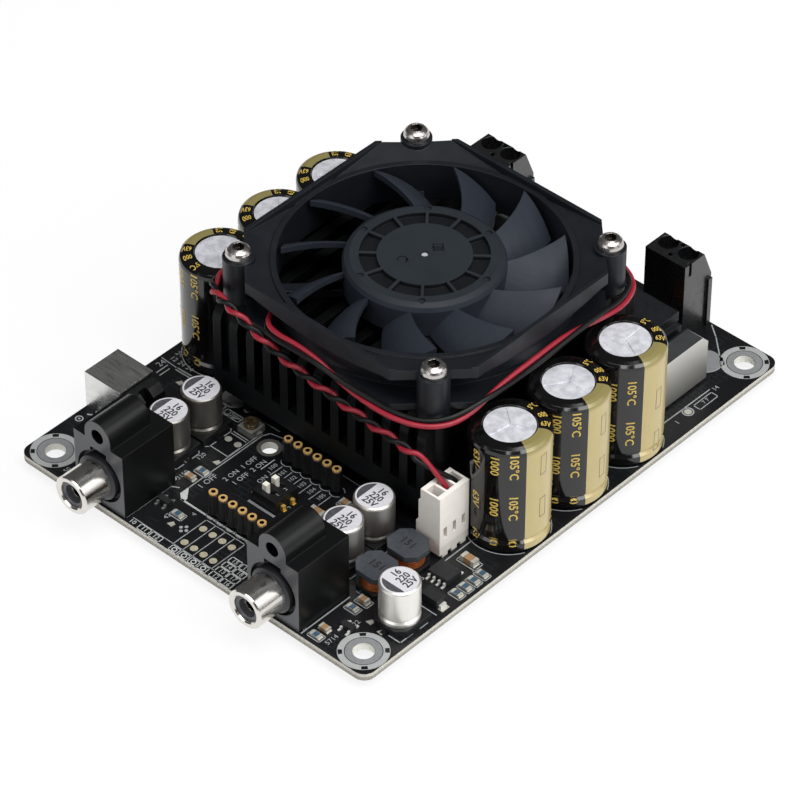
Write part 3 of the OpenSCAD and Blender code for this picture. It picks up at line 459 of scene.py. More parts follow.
def contact_look():
    """Gilt socket contacts, with painted shade in their mouths."""
    look = Look("socket_contacts")
    # Painted shade: the gold inside each contact's mouth is painted near black.
    mouths = look.discs([(x, y, 0.46) for x in SOCKET_X for y in SOCKET_Y])
    colour = look.mix(mouths, mottled(look, tone(238, 194, 124), 0.1, 0.5), tone(26, 15, 8))
    look.paint(colour, look.uneven(0.4, 0.22, 0.34, 3.0), 0.45)
    look.relief(0.2, 0.1, 0.1)
    return look.material


def coil_look(name, colour, pitch):
    """Enamelled wire, as bands one pitch apart, with painted shade between the turns."""
    look = Look(name)
    turns = look.add("ShaderNodeTexWave")
    turns.bands_direction = "Z"
    look.put(look.place, turns.inputs["Vector"])
    turns.inputs["Scale"].default_value = 2 * math.pi / (WAVE_RATE * pitch * MM)
    # Painted shade: the copper is painted darker in the grooves between turns.
    wire = look.mix(turns.outputs["Fac"], shade(colour, 0.45), shade(colour, 1.1))
    look.paint(wire, 0.3, 0.6)
    bump = look.add("ShaderNodeBump")
    bump.inputs["Strength"].default_value = 0.8
    bump.inputs["Distance"].default_value = 0.1 * MM
    look.put(turns.outputs["Fac"], bump.inputs["Height"])
    look.set("Normal", bump.outputs[0])
    return look.material


# What each solid wears

def dress(material, *names):
    for name in names:
        obj = nodes[name]
        if not obj.material_slots:
            obj.data.materials.append(material)
        for slot in obj.material_slots:
            slot.material = material


def numbered(name, count):
    return ["%s_%d" % (name, k + 1) for k in range(count)]


dress(board_look(), "circuit_board")
dress(surface("solder", tone(196, 197, 199), 0.28, 1.0, size=0.6, grain=0.2, bump=0.4), "solder_joints")
dress(heatsink_look(), "heatsink")
dress(surface("pad", tone(160, 172, 182), 0.8, size=1, bump=0.4), "thermal_pad")
dress(surface("chip", tone(30, 31, 33), 0.6, size=1, bump=0.3), "amplifier_chip")
dress(surface("steel", tone(196, 191, 188), 0.27, 1.0, 0.03, size=0.8, grain=0.3, bump=0.02, swing=0.02),
      "fan_shaft")
dress(screw_look(), "fan_screws")
dress(surface("zinc", tone(182, 183, 184), 0.3, 1.0, 0.08, size=0.8, grain=0.3, bump=0.1, edge=0.12),
      "heatsink_screws", "rotor_yoke", "stator_core", *numbered("terminal_screw", 4))
dress(surface("fan_frame", tone(22, 25, 30), 0.4, size=8, grain=0.1, bump=0.2, edge=0.25, shine=0.35),
      "fan_frame")
dress(blade_look(), "fan_impeller")
dress(surface("black_plastic", tone(13, 14, 16), 0.4, size=3, grain=0.12, bump=0.2, edge=0.2),
      "power_jack_body", "socket_strips")
dress(surface("terminal_plastic", tone(12, 13, 15), 0.3, size=3, grain=0.12, bump=0.1, edge=0.2, shine=1.0),
      *numbered("terminal_block", 2))
dress(surface("magnet", tone(60, 60, 62), 0.6, 0.4, size=1, bump=0.3), "rotor_magnet")
dress(surface("bronze", tone(176, 132, 70), 0.35, 1.0, size=0.5, bump=0.3), "fan_bearing")
dress(coil_look("copper_wire", tone(222, 124, 62), 0.45), "choke_windings", "drum_windings")
dress(coil_look("fan_coil_wire", tone(190, 100, 50), 0.2), "stator_coils")
dress(surface("green_board", tone(34, 84, 52), 0.45, size=1, bump=0.2), "fan_circuit")
dress(surface("nylon", tone(238, 233, 226), 0.5, spread=0.03, size=2, grain=0.1, bump=0.25, edge=0.2),
      "plug_housing")
dress(surface("header_nylon", tone(226, 223, 214), 0.5, spread=0.04, size=2, grain=0.1, bump=0.25, edge=0.2),
      "fan_header")
dress(can_look(), "can_capacitors")
dress(shell_look(), "rca_shells")
dress(surface("nickel", tone(214, 212, 208), 0.15, 1.0, 0.04, size=2, grain=0.3, bump=0.04, edge=0.15),
      "rca_contacts", "power_jack_pin")
dress(surface("shield", tone(222, 222, 220), 0.3, 1.0, 0.06, size=1.2, grain=0.12, bump=0.35, edge=0.12,
              stretch=(0.12, 1, 1)), "power_jack_shield")
dress(surface("gold", tone(232, 190, 120), 0.3, 0.35, 0.08, size=0.6, grain=0.2, bump=0.1, edge=0.08),
      "plug_contacts", *numbered("terminal_clamp", 4))
dress(surface("trimmer_rotor", tone(126, 110, 84), 0.24, 0.8, 0.5, size=0.8, grain=0.2, bump=0.2, edge=0.1),
      "trimmer_rotor")
dress(surface("insert", tone(86, 87, 92), 0.4, size=1, grain=0.1, bump=0.2, edge=0.15), "rca_inserts")
dress(drum_look(), "drum_cores")
dress(core_look(), "choke_cores")
dress(contact_look(), "socket_contacts")
dress(surface("bobbin", tone(16, 18, 22), 0.45, size=3, grain=0.12, bump=0.25, edge=0.2), "choke_bobbins")
dress(surface("trimmer_base", tone(118, 118, 114), 0.5, 0.2, 0.2, size=0.8, grain=0.1, bump=0.3, edge=0.1),
      "trimmer_base")
dress(surface("slider", tone(232, 229, 218), 0.5, spread=0.03, size=1, grain=0.1, bump=0.2, edge=0.12),
      *numbered("switch_slider", 2))
dress(surface("can_base", tone(14, 15, 17), 0.42, size=2, grain=0.1, bump=0.2, edge=0.15), "can_bases")
dress(jack_look(), *numbered("rca_body", 2))
dress(package_look(), "chip_packages")
dress(switch_look(), "switch_body")
dress(surface("chip_ceramic", tone(150, 150, 148), 0.5, spread=0.08, size=0.5, bump=0.2, edge=0.05),
      "chip_parts")
for k, (x, y) in enumerate(CAPS):
    dress(sleeve_look("sleeve_%d" % (k + 1), x, y), "storage_capacitor_%d" % (k + 1))


# Fan lead, two strands laid once round the fan and then twisted down to the plug

LEAD_D = 1.06
LEAD_Z = 27.2
LEAD_STEP = 0.6
PAIR_R = 0.54
TWIST_PITCH = 7.6
LOOSE_TURNS = [(0, 90), (76, 330), (120, 147), (168, 327)]
LAST_TURN = 476
LEAD_ROUND = [
    # out of the frame and along the front
    (-14.3, -25.4, 3), (-14.2, -27.7, 3), (-12.4, -30.3, 3), (-9, -31.5, 3.2), (-4, -31.6, 3.4),
    (2, -31.6, 3), (8, -31.6, 1.7), (15, -31.6, 1.2), (21, -31.3, 1.2), (26.2, -29.7, 1.3),
    # up the right side
    (29.4, -26.7, 1.5), (30.9, -22.7, 1.9), (31.6, -16.7, 2.8), (31.6, -5.7, 3.1), (31.6, 6.3, 3.4),
    (31.6, 15.3, 2.6), (31.2, 20.3, 1.6), (29.7, 25.1, 0.6),
    # across the back
    (27.4, 28.8, 0.3), (23, 31.1, 0.4), (17, 31.6, 1), (0, 31.6, 2.4), (-17, 31.6, 2.4),
    (-23, 31.1, 2.1), (-27.7, 29.1, 2),
    # down the left side
    (-30, 25.1, 2), (-31.2, 20.3, 2.1), (-31.6, 12.3, 2.4), (-31.6, -5.7, 2.8), (-31.6, -16.7, 2.2),
    (-31.2, -23, 1.7), (-29.4, -27.6, 1.8),
    # along the front again, towards the plug
    (-25.3, -30.2, 2.9), (-19.5, -31.7, 3.1), (-7, -31.7, -1), (9.5, -31.7, -3.4), (24, -31.7, -4.8),
    (28.6, -31.3, -6),
]
OVER_PLUG = Vector((31.3, -24.4, 19.0))
ROUTE = [Vector((x, y + FAN_Y, z + LEAD_Z)) for x, y, z in LEAD_ROUND] + [OVER_PLUG]
RED_TAIL = [(31.9, -23.5, 16.2), (31.9, -23.5, 14.8), (31.9, -23.5, 13.4)]
BLACK_TAIL = [(31.9, -21.3, 16.4), (31.9, -20.96, 14.9), (31.9, -20.96, 13.4)]


def smooth(points, step):
    """A Catmull-Rom line through the points, with even steps."""
    ends = [2 * points[0] - points[1]] + points + [2 * points[-1] - points[-2]]
    fine = []
    for a, b, c, d in zip(ends, ends[1:], ends[2:], ends[3:]):
        for n in range(24):
            t = n / 24
            fine.append(0.5 * (2 * b + (c - a) * t + (2 * a - 5 * b + 4 * c - d) * t * t
                               + (3 * b - a - 3 * c + d) * t ** 3))
    fine.append(points[-1])
    lengths = [0]
    for a, b in zip(fine, fine[1:]):
        lengths.append(lengths[-1] + (b - a).length)
    count = int(lengths[-1] / step)
    line = []
    at = 0
    for n in range(count + 1):
        want = lengths[-1] * n / count
        while at < len(fine) - 2 and lengths[at + 1] < want:
            at += 1
        t = (want - lengths[at]) / max(1e-9, lengths[at + 1] - lengths[at])
        line.append(fine[at].lerp(fine[at + 1], t))
    return line


def twist(n, start):
    """Degrees of turn of the pair at a step: laid loose up to the start of the twist, twisted after it."""
    if n > start:
        return LAST_TURN + 360 * (n - start) * LEAD_STEP / TWIST_PITCH
    keys = LOOSE_TURNS + [(start, LAST_TURN)]
    for (a, low), (b, high) in zip(keys, keys[1:]):
        if n <= b:
            t = (n - a) / (b - a)
            return low + (high - low) * t * t * (3 - 2 * t)


def strand_line(phase, tail):
    """The middle line of one strand, which leaves the pair above the plug and runs down its tail."""
    line = smooth(ROUTE, LEAD_STEP)
    start = next(n for n, p in enumerate(line) if n > len(line) / 2 and p.x < -28 and p.y < -20)
    points = []
    for n, p in enumerate(line):
        ahead = (line[min(n + 1, len(line) - 1)] - line[max(n - 1, 0)]).normalized()
        side = ahead.cross(Vector((0.12, 0.15, 0.98))).normalized()
        lift = side.cross(ahead)
        turn = math.radians(twist(n, start)) + phase
        points.append(p + PAIR_R * (math.cos(turn) * side + math.sin(turn) * lift))
    points = points[:-5]
    return smooth(points[:-6:3] + [points[-4]] + [Vector(t) for t in tail], 0.5)


def strand(name, phase, tail, material):
    points = strand_line(phase, tail)
    data = bpy.data.curves.new(name, "CURVE")
    data.dimensions = "3D"
    data.bevel_depth = LEAD_D / 2 * MM
    data.bevel_resolution = 3
    data.use_fill_caps = True
    spline = data.splines.new("POLY")
    spline.points.add(len(points) - 1)
    for spot, p in zip(spline.points, points):
        spot.co = (p.x * MM, p.y * MM, p.z * MM, 1)
    obj = bpy.data.objects.new(name, data)
    scene.collection.objects.link(obj)
    data.materials.append(material)
    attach(obj, "board")
    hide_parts("fan_lead")
    return obj


RED = surface("lead_red", tone(150, 28, 46), 0.42, spread=0.08, size=2, grain=0.2, bump=0.15)
BLACK = surface("lead_black", tone(11, 11, 12), 0.45, spread=0.12, size=2, grain=0.2, bump=0.15, shine=0.3)
red = strand("lead_red", 0, RED_TAIL, RED)
black = strand("lead_black", math.pi, BLACK_TAIL, BLACK)


# Printing

INK_LOW, INK_HIGH = 0.004, 0.03
BUMP_HIGH = 0.12


def level(z):
    """A way to lay marks on a level face."""
    return lambda x, y, h: Vector((x, y, z + h))


class Print:
    """Flat marks gathered into one thin piece. lay() bends the flat marks onto their surface."""

    def __init__(self, lay):
        self.mesh = bmesh.new()
        self.lay = lay
        self.slot = 0

    def area(self, points, low=INK_LOW, high=INK_HIGH):
        below = [self.mesh.verts.new(self.lay(x, y, low) * MM) for x, y in points]
        above = [self.mesh.verts.new(self.lay(x, y, high) * MM) for x, y in points]
        count = len(points)
        faces = [self.mesh.faces.new(above), self.mesh.faces.new(below[::-1])]
        for n in range(count):
            m = (n + 1) % count
            faces.append(self.mesh.faces.new((below[n], below[m], above[m], above[n])))
        for f in faces:
            f.material_index = self.slot

    def patch(self, x0, x1, y0, y1, low=INK_LOW, high=INK_HIGH):
        left, right = sorted((x0, x1))
        self.area([(left, y0), (right, y0), (right, y1), (left, y1)], low, high)

    def line(self, points, width):
        for (x0, y0), (x1, y1) in zip(points, points[1:]):
            long = math.hypot(x1 - x0, y1 - y0)
            ux, uy = (x1 - x0) / long * width / 2, (y1 - y0) / long * width / 2
            self.area([(x0 - ux + uy, y0 - uy - ux), (x1 + ux + uy, y1 + uy - ux),
                       (x1 + ux - uy, y1 + uy + ux), (x0 - ux - uy, y0 - uy + ux)])

    def box(self, x, y, w, h, width):
        left, right, low, high = x - w / 2, x + w / 2, y - h / 2, y + h / 2
        self.line([(left, low), (right, low), (right, high), (left, high), (left, low)], width)

    def ring(self, x, y, inner, outer, start=0, end=360):
        """A ring or part of one, or a disc where the inner radius is nought."""
        count = max(3, int(abs(end - start) / 7.5))
        for n in range(count):
            a, b = (math.radians(start + (end - start) * (n + k) / count) for k in (0, 1))
            rim = [(x + outer * math.cos(t), y + outer * math.sin(t)) for t in (a, b)]
            if inner:
                self.area([(x + inner * math.cos(a), y + inner * math.sin(a)), *rim,
                           (x + inner * math.cos(b), y + inner * math.sin(b))])
            else:
                self.area([(x, y), *rim])

    def text(self, words, x, y, size, turn=0.0, bold=0.0, wide=1.0, cut=0.0):
        """Words about a point. A cut slices them across, so that they can bend."""
        data = bpy.data.curves.new("words", "FONT")
        data.body = words
        data.size = size
        data.offset = bold
        data.align_x = "CENTER"
        data.align_y = "CENTER"
        data.resolution_u = 2
        data.extrude = 0.5
        obj = bpy.data.objects.new("words", data)
        scene.collection.objects.link(obj)
        bpy.context.view_layer.update()
        flat = bpy.data.meshes.new_from_object(obj.evaluated_get(bpy.context.evaluated_depsgraph_get()))
        bpy.data.objects.remove(obj)
        bpy.data.curves.remove(data)
        part = bmesh.new()
        part.from_mesh(flat)
        bpy.data.meshes.remove(flat)
        part.transform(Matrix.Diagonal((wide, 1, 1, 1)))
        at = -size
        while cut and at < size:
            bmesh.ops.bisect_plane(part, geom=part.verts[:] + part.edges[:] + part.faces[:],
                                   plane_co=(0, at, 0), plane_no=(0, 1, 0))
            at += cut
        part.transform(Matrix.Translation((x, y, 0)) @ Matrix.Rotation(math.radians(turn), 4, "Z"))
        part.verts.index_update()
        made = []
        for v in part.verts:
            h = INK_LOW if v.co.z < 0 else INK_HIGH
            made.append(self.mesh.verts.new(self.lay(v.co.x, v.co.y, h) * MM))
        for f in part.faces:
            face = self.mesh.faces.new([made[v.index] for v in f.verts])
            face.material_index = self.slot
        part.free()

    def done(self, name, materials, body="board"):
        bmesh.ops.recalc_face_normals(self.mesh, faces=self.mesh.faces[:])
        data = bpy.data.meshes.new(name)
        self.mesh.to_mesh(data)
        self.mesh.free()
        obj = bpy.data.objects.new(name, data)
        scene.collection.objects.link(obj)
        for m in materials:
            data.materials.append(m)
        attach(obj, body)


def ink(name, colour, rough=0.6, spread=0.1, size=0.8, bump=0.2, shine=0.5):
    return surface(name, colour, rough, spread=spread, size=size, grain=0.1, bump=bump, shine=shine)


WHITE_INK = ink("white_ink", tone(186, 189, 188))
THIN_INK = ink("thin_ink", tone(150, 153, 154), spread=0.16)
GREY_INK = ink("grey_pad", tone(128, 129, 131), 0.5, size=0.6, bump=0.3)
RING_INK = ink("ring_ink", tone(160, 163, 162), spread=0.05)
DARK_INK = ink("dark_ink", tone(30, 31, 34), 0.5, bump=0.1)
HUB_INK = ink("hub_mark", tone(17, 19, 22), 0.5, bump=0.1, shine=0.3)
SEGMENT_INK = ink("grey_segment", tone(76, 76, 80), 0.4, 0.3, 0.7)
# Painted shade: bare tin printed dim for the module hole's ring by the heatsink.
SHADED_PAD_INK = ink("shaded_pad", tone(84, 82, 77), 0.5, size=0.6)
GOLD_INK = ink("gold_ink", tone(206, 176, 84), 0.4, 0.08, bump=0.05)
FAINT_INK = ink("faint_line", tone(96, 82, 44), 0.4, bump=0.05)
STRIPE = stripe_look()
TIN_PAD = surface("tinned_pad", tone(206, 204, 194), 0.34, 0.5, 0.1, size=0.5, grain=0.3, bump=0.15)
GILT_PAD = surface("gilt_pad", tone(210, 202, 176), 0.3, 0.4, 0.2, size=0.5, grain=0.3, bump=0.15)


# Chip parts: length, width, height, and the printed outline's width and height or nought

ROW_RESISTOR = (2, 1.25, 0.55, 3, 1.9)
RESISTOR = (2, 1.25, 0.55, 3.1, 1.9)
LOW_CAPACITOR = (2, 1.25, 0.8, 0, 0)
SMALL_CAPACITOR = (2, 1.25, 1, 3.2, 2)
LARGE_CAPACITOR = (3.2, 1.6, 1.3, 4.6, 2.4)
CHIPS = [(43, -32.3 + 2.36 * k, ROW_RESISTOR) for k in range(4)] + [
    (38.9, -24.2, LARGE_CAPACITOR), (9.1, -34.2, LARGE_CAPACITOR), (11.1, -28.5, SMALL_CAPACITOR),
    (31.7, -45.5, SMALL_CAPACITOR), (31.4, -48.2, RESISTOR), (31.4, -58, RESISTOR),
    (31.4, -55.7, LOW_CAPACITOR), (-15.4, -40.2, RESISTOR), (-10.3, -52, RESISTOR),
    (-15.9, -43, LOW_CAPACITOR), (26.6, -27.8, RESISTOR),
]


# Print on the board

BOARD_INKS = [WHITE_INK, GREY_INK, THIN_INK, TIN_PAD, RING_INK, SHADED_PAD_INK, GILT_PAD]
WHITE, GREY, THIN, TIN, RINGS, SHADED_PAD, GILT = range(len(BOARD_INKS))
CORNER_PAD = (34.5, 50.2)
CORNER_PAD_R = 3.3
RINGED_PAD = (41.7, 36.2)
PAD_X = [-4.1 + 2.51 * k for k in range(4)]
PAD_ROWS = (-51.5, -56.5)
TABLE_Y = -59.2
ROUND_PADS = [(-18.4, -30), (-15.9, -30), (-21.5, -21.6), RINGED_PAD]
SOLDER_DABS = [(-18.2, -45.4), (-9.5, -54.6), (33.2, -42.6), (12.6, -25.4), (36.2, -48.6), (-15.3, -36.4),
               (-20.1, -39.9), (-36.9, -24.7), (39.5, -49.2)]
LABELS = [
    (-34.8, -57.3, "50"), (-18.7, -37.2, "120"), (-17.6, -43.4, "3150"), (-8.2, -49.8, "4"),
    (28.4, -58.2, "57"), (34.2, -56.8, "5714"), (34.5, -50.9, "322"), (29.3, -44, "10"), (41.2, -40.2, "16"),
    (35.3, -33.8, "15"), (42.2, 32.4, "1"), (41.2, 45.2, "14"), (31.5, 47.8, "2"), (-11.6, -53.6, "42"),
    (29.9, -24.9, "31"), (41.6, -25.4, "14"),
]
SWITCH_LABELS = [
    ("1 OFF", -12.8, -41.4, 1.9), ("2 ON  1 OFF", -10.7, -34.6, 1.65), ("1 OFF  2 ON", -8.7, -34.2, 1.65),
    ("ON", -5.5, -33.9, 1.6), ("1", -5.9, -31.6, 1.4), ("2", 3.9, -36.2, 1.4),
]
MODULE_LINES = [
    (0.22, [(-14.2, -45.1), (-14.2, -25.0), (-13.5, -23.4), (-10.3, -22.7), (9.5, -22.7)]),
    (0.18, [(-14.75, -36.6), (-14.75, -24.6)]),
]
FRONT_LINES = [
    (0.26, [(-17.0, -59), (-17.0, -47.2), (-15.6, -46.4)]),
    (0.26, [(28.9, -59.3), (28.9, -46.4)]),
    (0.18, [(-16, -58.2), (10.4, -58.2)]),
    (0.2, [(-5.4, -49.3), (4.7, -49.3)]),
] + [(0.2, [(x, -58.3), (x, -49.3)]) for x in (-5.4, -2.9, -0.35, 2.15, 4.7)]
LEFT_LINES = [
    (0.22, [(-19.4, -33.8), (-14.9, -33.8), (-14.9, -30.4)]),
    (0.22, [(-20.8, -24.4), (-22.6, -25.4), (-25.3, -24.9), (-25.3, -22)]),
    (0.34, [(-27.3, -22.8), (-24.7, -22.7)]),
    (0.22, [(-18.2, -21.9), (-12.6, -21.8)]),
    (0.2, [(-19.1, -27.8), (-15.3, -27.8)]),
    (0.2, [(-19.1, -28.4), (-15.3, -28.4)]),
    (0.26, [(-42.4, -25.5), (-42.4, -22.6)]),
    (0.26, [(-41.35, -25.7), (-41.35, -23.1)]),
    (0.22, [(-44.8, -21.7), (-40.7, -21.9)]),
    (0.3, [(-40.2, -21.8), (-36.7, -21.7)]),
    (0.3, [(-40.2, -22.4), (-36.7, -22.3)]),
    (0.35, [(-43.4, -43.4), (-42.2, -42.6), (-42.8, -41.6)]),
]
RIGHT_LINES = [
    (0.25, [(41.2, -48.9), (44, -48.9), (44, -45.6)]),
    (0.25, [(44.1, -43.6), (44.1, -41.6)]),
    (0.22, [(38.6, -39), (43.9, -39)]),
    (0.25, [(35.3, -28), (35.3, -19.6)]),
    (0.25, [(28.5, 59.4), (31.4, 57.2), (36.1, 52.8)]),
    (0.25, [(40.4, 30), (40.6, 44)]),
]


def print_holes(p):
    """Broken rings round the fixing holes, and the bare ring of the module hole in painted shade."""
    for x, y in FIXINGS:
        p.slot = RINGS
        p.ring(x, y, 3.65, 3.95)
        p.ring(x, y, 4.8, 4.92)
        for k in range(4):
            p.ring(x, y, 3.95, 4.8, 45 + 90 * k + 8, 135 + 90 * k - 8)
        p.slot = GREY
        p.ring(x, y, 2.15, 3.5)
    # Painted shade: the module hole's bare ring is printed dim.
    p.slot = SHADED_PAD
    p.ring(*MODULE_HOLE, 1.75, 2.5)


def print_module(p):
    """The plug-in module's outline, its switch settings and the numbers of its sockets."""
    p.slot = WHITE
    p.area([(-14.3, -45.0), (-14.3, -47.4), (-12.8, -48.6), (-12.2, -48.6), (-12.2, -47.6)])
    p.line([(-12.8, -48.4), (9.6, -48.4)], 0.42)
    p.line([(-7.7, -32), (-7.7, -28.4)], 0.18)
    p.slot = GREY
    p.line([(-3.1, -40), (3.2, -40)], 0.6)
    p.slot = THIN
    for words, x, y, size in SWITCH_LABELS:
        p.text(words, x, y, size, 90)
    for k, x in enumerate(SOCKET_X):
        label_x = -6.45 + 2.53 * k
        p.text(str(100 + k), label_x, -30, 1.4, 90)
        p.line([(label_x + 1.2, -32), (label_x + 1.2, -28.8)], 0.18)
        p.line([(x, -45.4), (x, -44.7)], 0.18)
        for y in SOCKET_Y:
            p.ring(x, y, 1.42, 1.56, 28, 152)
            p.ring(x, y, 1.42, 1.56, 208, 332)


def print_tables(p):
    """The numbered boxes along the front edge."""
    p.slot = WHITE
    for i in range(2):
        for j in range(4):
            x, y = 6.7 + 2.9 * i, TABLE_Y + 1.75 * j
            p.box(x, y, 2.6, 1.5, 0.2)
            p.text(str(12 + 4 * i + j), x, y, 1.45)
    for x in PAD_X:
        p.ring(x, TABLE_Y, 0.36, 0.6)
        p.box(x, TABLE_Y, 2.1, 1.5, 0.18)
    for k in range(2):
        x, y = -12.2 + 3.1 * k, TABLE_Y + 0.1
        p.box(x, y, 2.7, 1.5, 0.18)
        p.text(str(11 + k), x, y, 1.45)
    p.text("10", -15.3, TABLE_Y + 0.1, 1.5)


def print_lines(p):
    """Thin lines, numbers, the four dots by the front pads and the mark by the power jack."""
    p.slot = THIN
    for width, points in MODULE_LINES + FRONT_LINES + LEFT_LINES + RIGHT_LINES:
        p.line(points, width)
    for dx, dy in ((-0.7, 0), (0.7, 0), (0, -0.75), (0, 0.75)):
        p.ring(-6.8 + dx, -54 + dy, 0, 0.36)
    p.ring(-43.8, -45.4, 0.6, 0.85)
    p.ring(-43.8, -45.4, 0, 0.25)
    for x, y, words in LABELS:
        p.text(words, x, y, 1.5, 90)
    p.text("24", -43.7, -23.0, 2.0, 90)
    p.text("12 24 24", -40.6, -20.4, 1.7)
    p.text("24", -43.0, -18.6, 1.7)
    p.box(-22.5, -24.6, 4.2, 1.6, 0.18)
    p.text("2200", -22.5, -24.6, 1.3)
    p.box(42.2, 41, 1.7, 5.4, 0.2)
    p.text("7 7", 42.2, 41, 1.3, 90)


def print_outlines(p):
    """Outlines round chips, two pads, storage capacitors and cans."""
    p.slot = THIN
    for x, y, (_, _, _, w, h) in CHIPS:
        if w:
            p.box(x, y, w, h, 0.2)
    p.ring(*CORNER_PAD, CORNER_PAD_R, CORNER_PAD_R + 0.25, -80, 60)
    p.ring(*RINGED_PAD, 0.95, 1.25)
    for x, y in CAPS:
        start = 26 if x > 0 else 206
        p.ring(x, y, CAP_R + 0.1, CAP_R + 0.27, start, start + 308)
    half, bevel, gap = 4.75, 1.8, 1.2
    for x, y in PAIRED_CANS:
        right = x + half
        p.line([(right - bevel, y - half), (right, y - half + bevel), (right, y - gap)], 0.2)
        p.line([(right, y + gap), (right, y + half - bevel), (right - bevel, y + half)], 0.2)


def print_pads(p):
    """Bare pads: grey, gilt and tinned ones, and dabs of solder."""
    p.slot = GREY
    p.ring(*CORNER_PAD, 0, CORNER_PAD_R)
    p.ring(-25.7, -20.6, 0, 2.9)
    p.slot = GILT
    for y in PAD_ROWS:
        for x in PAD_X:
            p.ring(x, y, 0, 0.78)
    p.slot = TIN
    for x, y in ROUND_PADS:
        p.ring(x, y, 0, 0.75)
    for x, y in SOLDER_DABS:
        dab = [(x - 0.7, y - 0.5), (x + 0.6, y - 0.6), (x + 0.7, y + 0.4), (x - 0.1, y + 0.7)]
        p.area(dab, INK_LOW, BUMP_HIGH)
    p.patch(42.9, 44.3, -37.7, -35.7, INK_LOW, BUMP_HIGH)


def print_board():
    p = Print(level(BOARD_TOP))
    print_holes(p)
    print_pads(p)
    print_module(p)
    print_tables(p)
    print_lines(p)
    print_outlines(p)
    p.done("board_print", BOARD_INKS)


print_board()


# Print on the storage capacitors

BAND_TURNS = (2, 7, 5, 176, 176, 176)
BAND_HALF = 28
WORD_DROPS = (0.8, 1.0, 3.7)
WORD_STEP = 10.2
WORDS = [(-45, "105°C", "10"), (-71, "1000", "10"), (-100, "63V", "63"),
         (44, "63V", "63"), (70, "1000", "10"), (98, "105°C", "10")]
RIM_R = 6.7
RIM_WORDS = [(40, "63V"), (63, "000"), (90, "5°C")]
FAR_RIM_WORDS = [(-40, "5°C"), (-64, "63V"), (-92, "00"), (180, "63V")]
SLEEVE = [(CAP_R, 0.7), (CAP_R, 2.2), (CAP_R - 0.5, 2.7), (CAP_R - 0.5, 3), (CAP_R, 3.5),
          (CAP_R, CAP_TALL - 1.3), (CAP_R - 0.2, CAP_TALL - 0.7), (CAP_R - 0.7, CAP_TALL - 0.25),
          (CAP_R - 1.5, CAP_TALL), (CAP_R - 2.85, CAP_TALL)]


def round_sleeve(x, y, middle):
    """A way to lay marks round a sleeve, across from the middle of its band and up from the board."""
    def lay(u, v, h):
        a = math.radians(middle) + u / CAP_R
        out = CAP_R + h + 0.01
        for (r0, v0), (r1, v1) in zip(SLEEVE, SLEEVE[1:]):
            if v0 <= v < v1:
                out += r0 + (r1 - r0) * (v - v0) / (v1 - v0) - CAP_R
        return Vector((x + out * math.cos(a), y + out * math.sin(a), BOARD_TOP + v))
    return lay


def round_rim(x, y, middle):
    """A way to lay marks round the flat rim and down its shoulder."""
    def lay(u, v, h):
        a = math.radians(middle) - u / RIM_R
        drop = max(0, v - 6.65) * 0.32 + max(0, v - 7.4) * 0.6
        return Vector((x + v * math.cos(a), y + v * math.sin(a), CAP_TOP + 0.01 + h - drop))
    return lay


def sleeve_band(name, x, y, middle):
    """The gold band, which follows the sleeve's outline up and over the rim."""
    p = Print(level(BOARD_TOP))
    outer = []
    for n, (r, z) in enumerate(SLEEVE):
        before = Vector(SLEEVE[max(0, n - 1)])
        after = Vector(SLEEVE[min(len(SLEEVE) - 1, n + 1)])
        along = (after - before).normalized()
        outer.append((r + along.y * INK_HIGH, z - along.x * INK_HIGH))
    rows = []
    for n in range(25):
        a = math.radians(middle - BAND_HALF + 2 * BAND_HALF * n / 24)
        spots = [p.lay(x + r * math.cos(a), y + r * math.sin(a), z) for r, z in outer]
        rows.append([p.mesh.verts.new(spot * MM) for spot in spots])
    for one, two in zip(rows, rows[1:]):
        for n in range(len(outer) - 1):
            p.mesh.faces.new((one[n], two[n], two[n + 1], one[n + 1]))
    p.done(name, [STRIPE])


def sleeve_words(name, x, y, middle, row):
    """The minus outlines on the band, and the ratings beside it."""
    p = Print(round_sleeve(x, y, middle))
    top = CAP_TALL - WORD_DROPS[row]
    for n in range(2):
        v = top - 4.4 - 10.6 * n - 1.2 * row
        sides = [(u, 0, 0.13, 4.6) for u in (0.75, -0.75)]
        ends = [(0.25 * m, dv, 0.26, 0.16) for m in range(-3, 4) for dv in (2.3, -2.3)]
        for u, dv, w, h in sides + ends:
            p.patch(u - w / 2, u + w / 2, v + dv - h / 2, v + dv + h / 2, 0.026, 0.037)
    p.slot = 1
    for turn, label, short in WORDS:
        u = math.radians(turn) * CAP_R
        for n in range(3):
            head = top - WORD_STEP * n
            if head > 6.6:
                p.text(label, u, head - 2.9, 2.4, -90, 0.03, 1.0, 0.4)
            elif head > 3.4:
                p.text(short, u, head - 1.4, 2.4, -90, 0.03, 1.0, 0.4)
    p.done(name, [FAINT_INK, GOLD_INK])


def rim_words(name, x, y, middle):
    p = Print(round_rim(x, y, middle))
    for turn, label in RIM_WORDS + (FAR_RIM_WORDS if x < 0 else []):
        p.text(label, -math.radians(turn) * RIM_R, 6.6, 1.9, 90, 0.03, 0.62, 0.3)
    p.done(name, [GOLD_INK])


for k, ((x, y), middle) in enumerate(zip(CAPS, BAND_TURNS)):
    sleeve_band("sleeve_band_%d" % (k + 1), x, y, middle)
    sleeve_words("sleeve_words_%d" % (k + 1), x, y, middle, k % 3)
    rim_words("rim_words_%d" % (k + 1), x, y, middle)


# Marks on the small parts

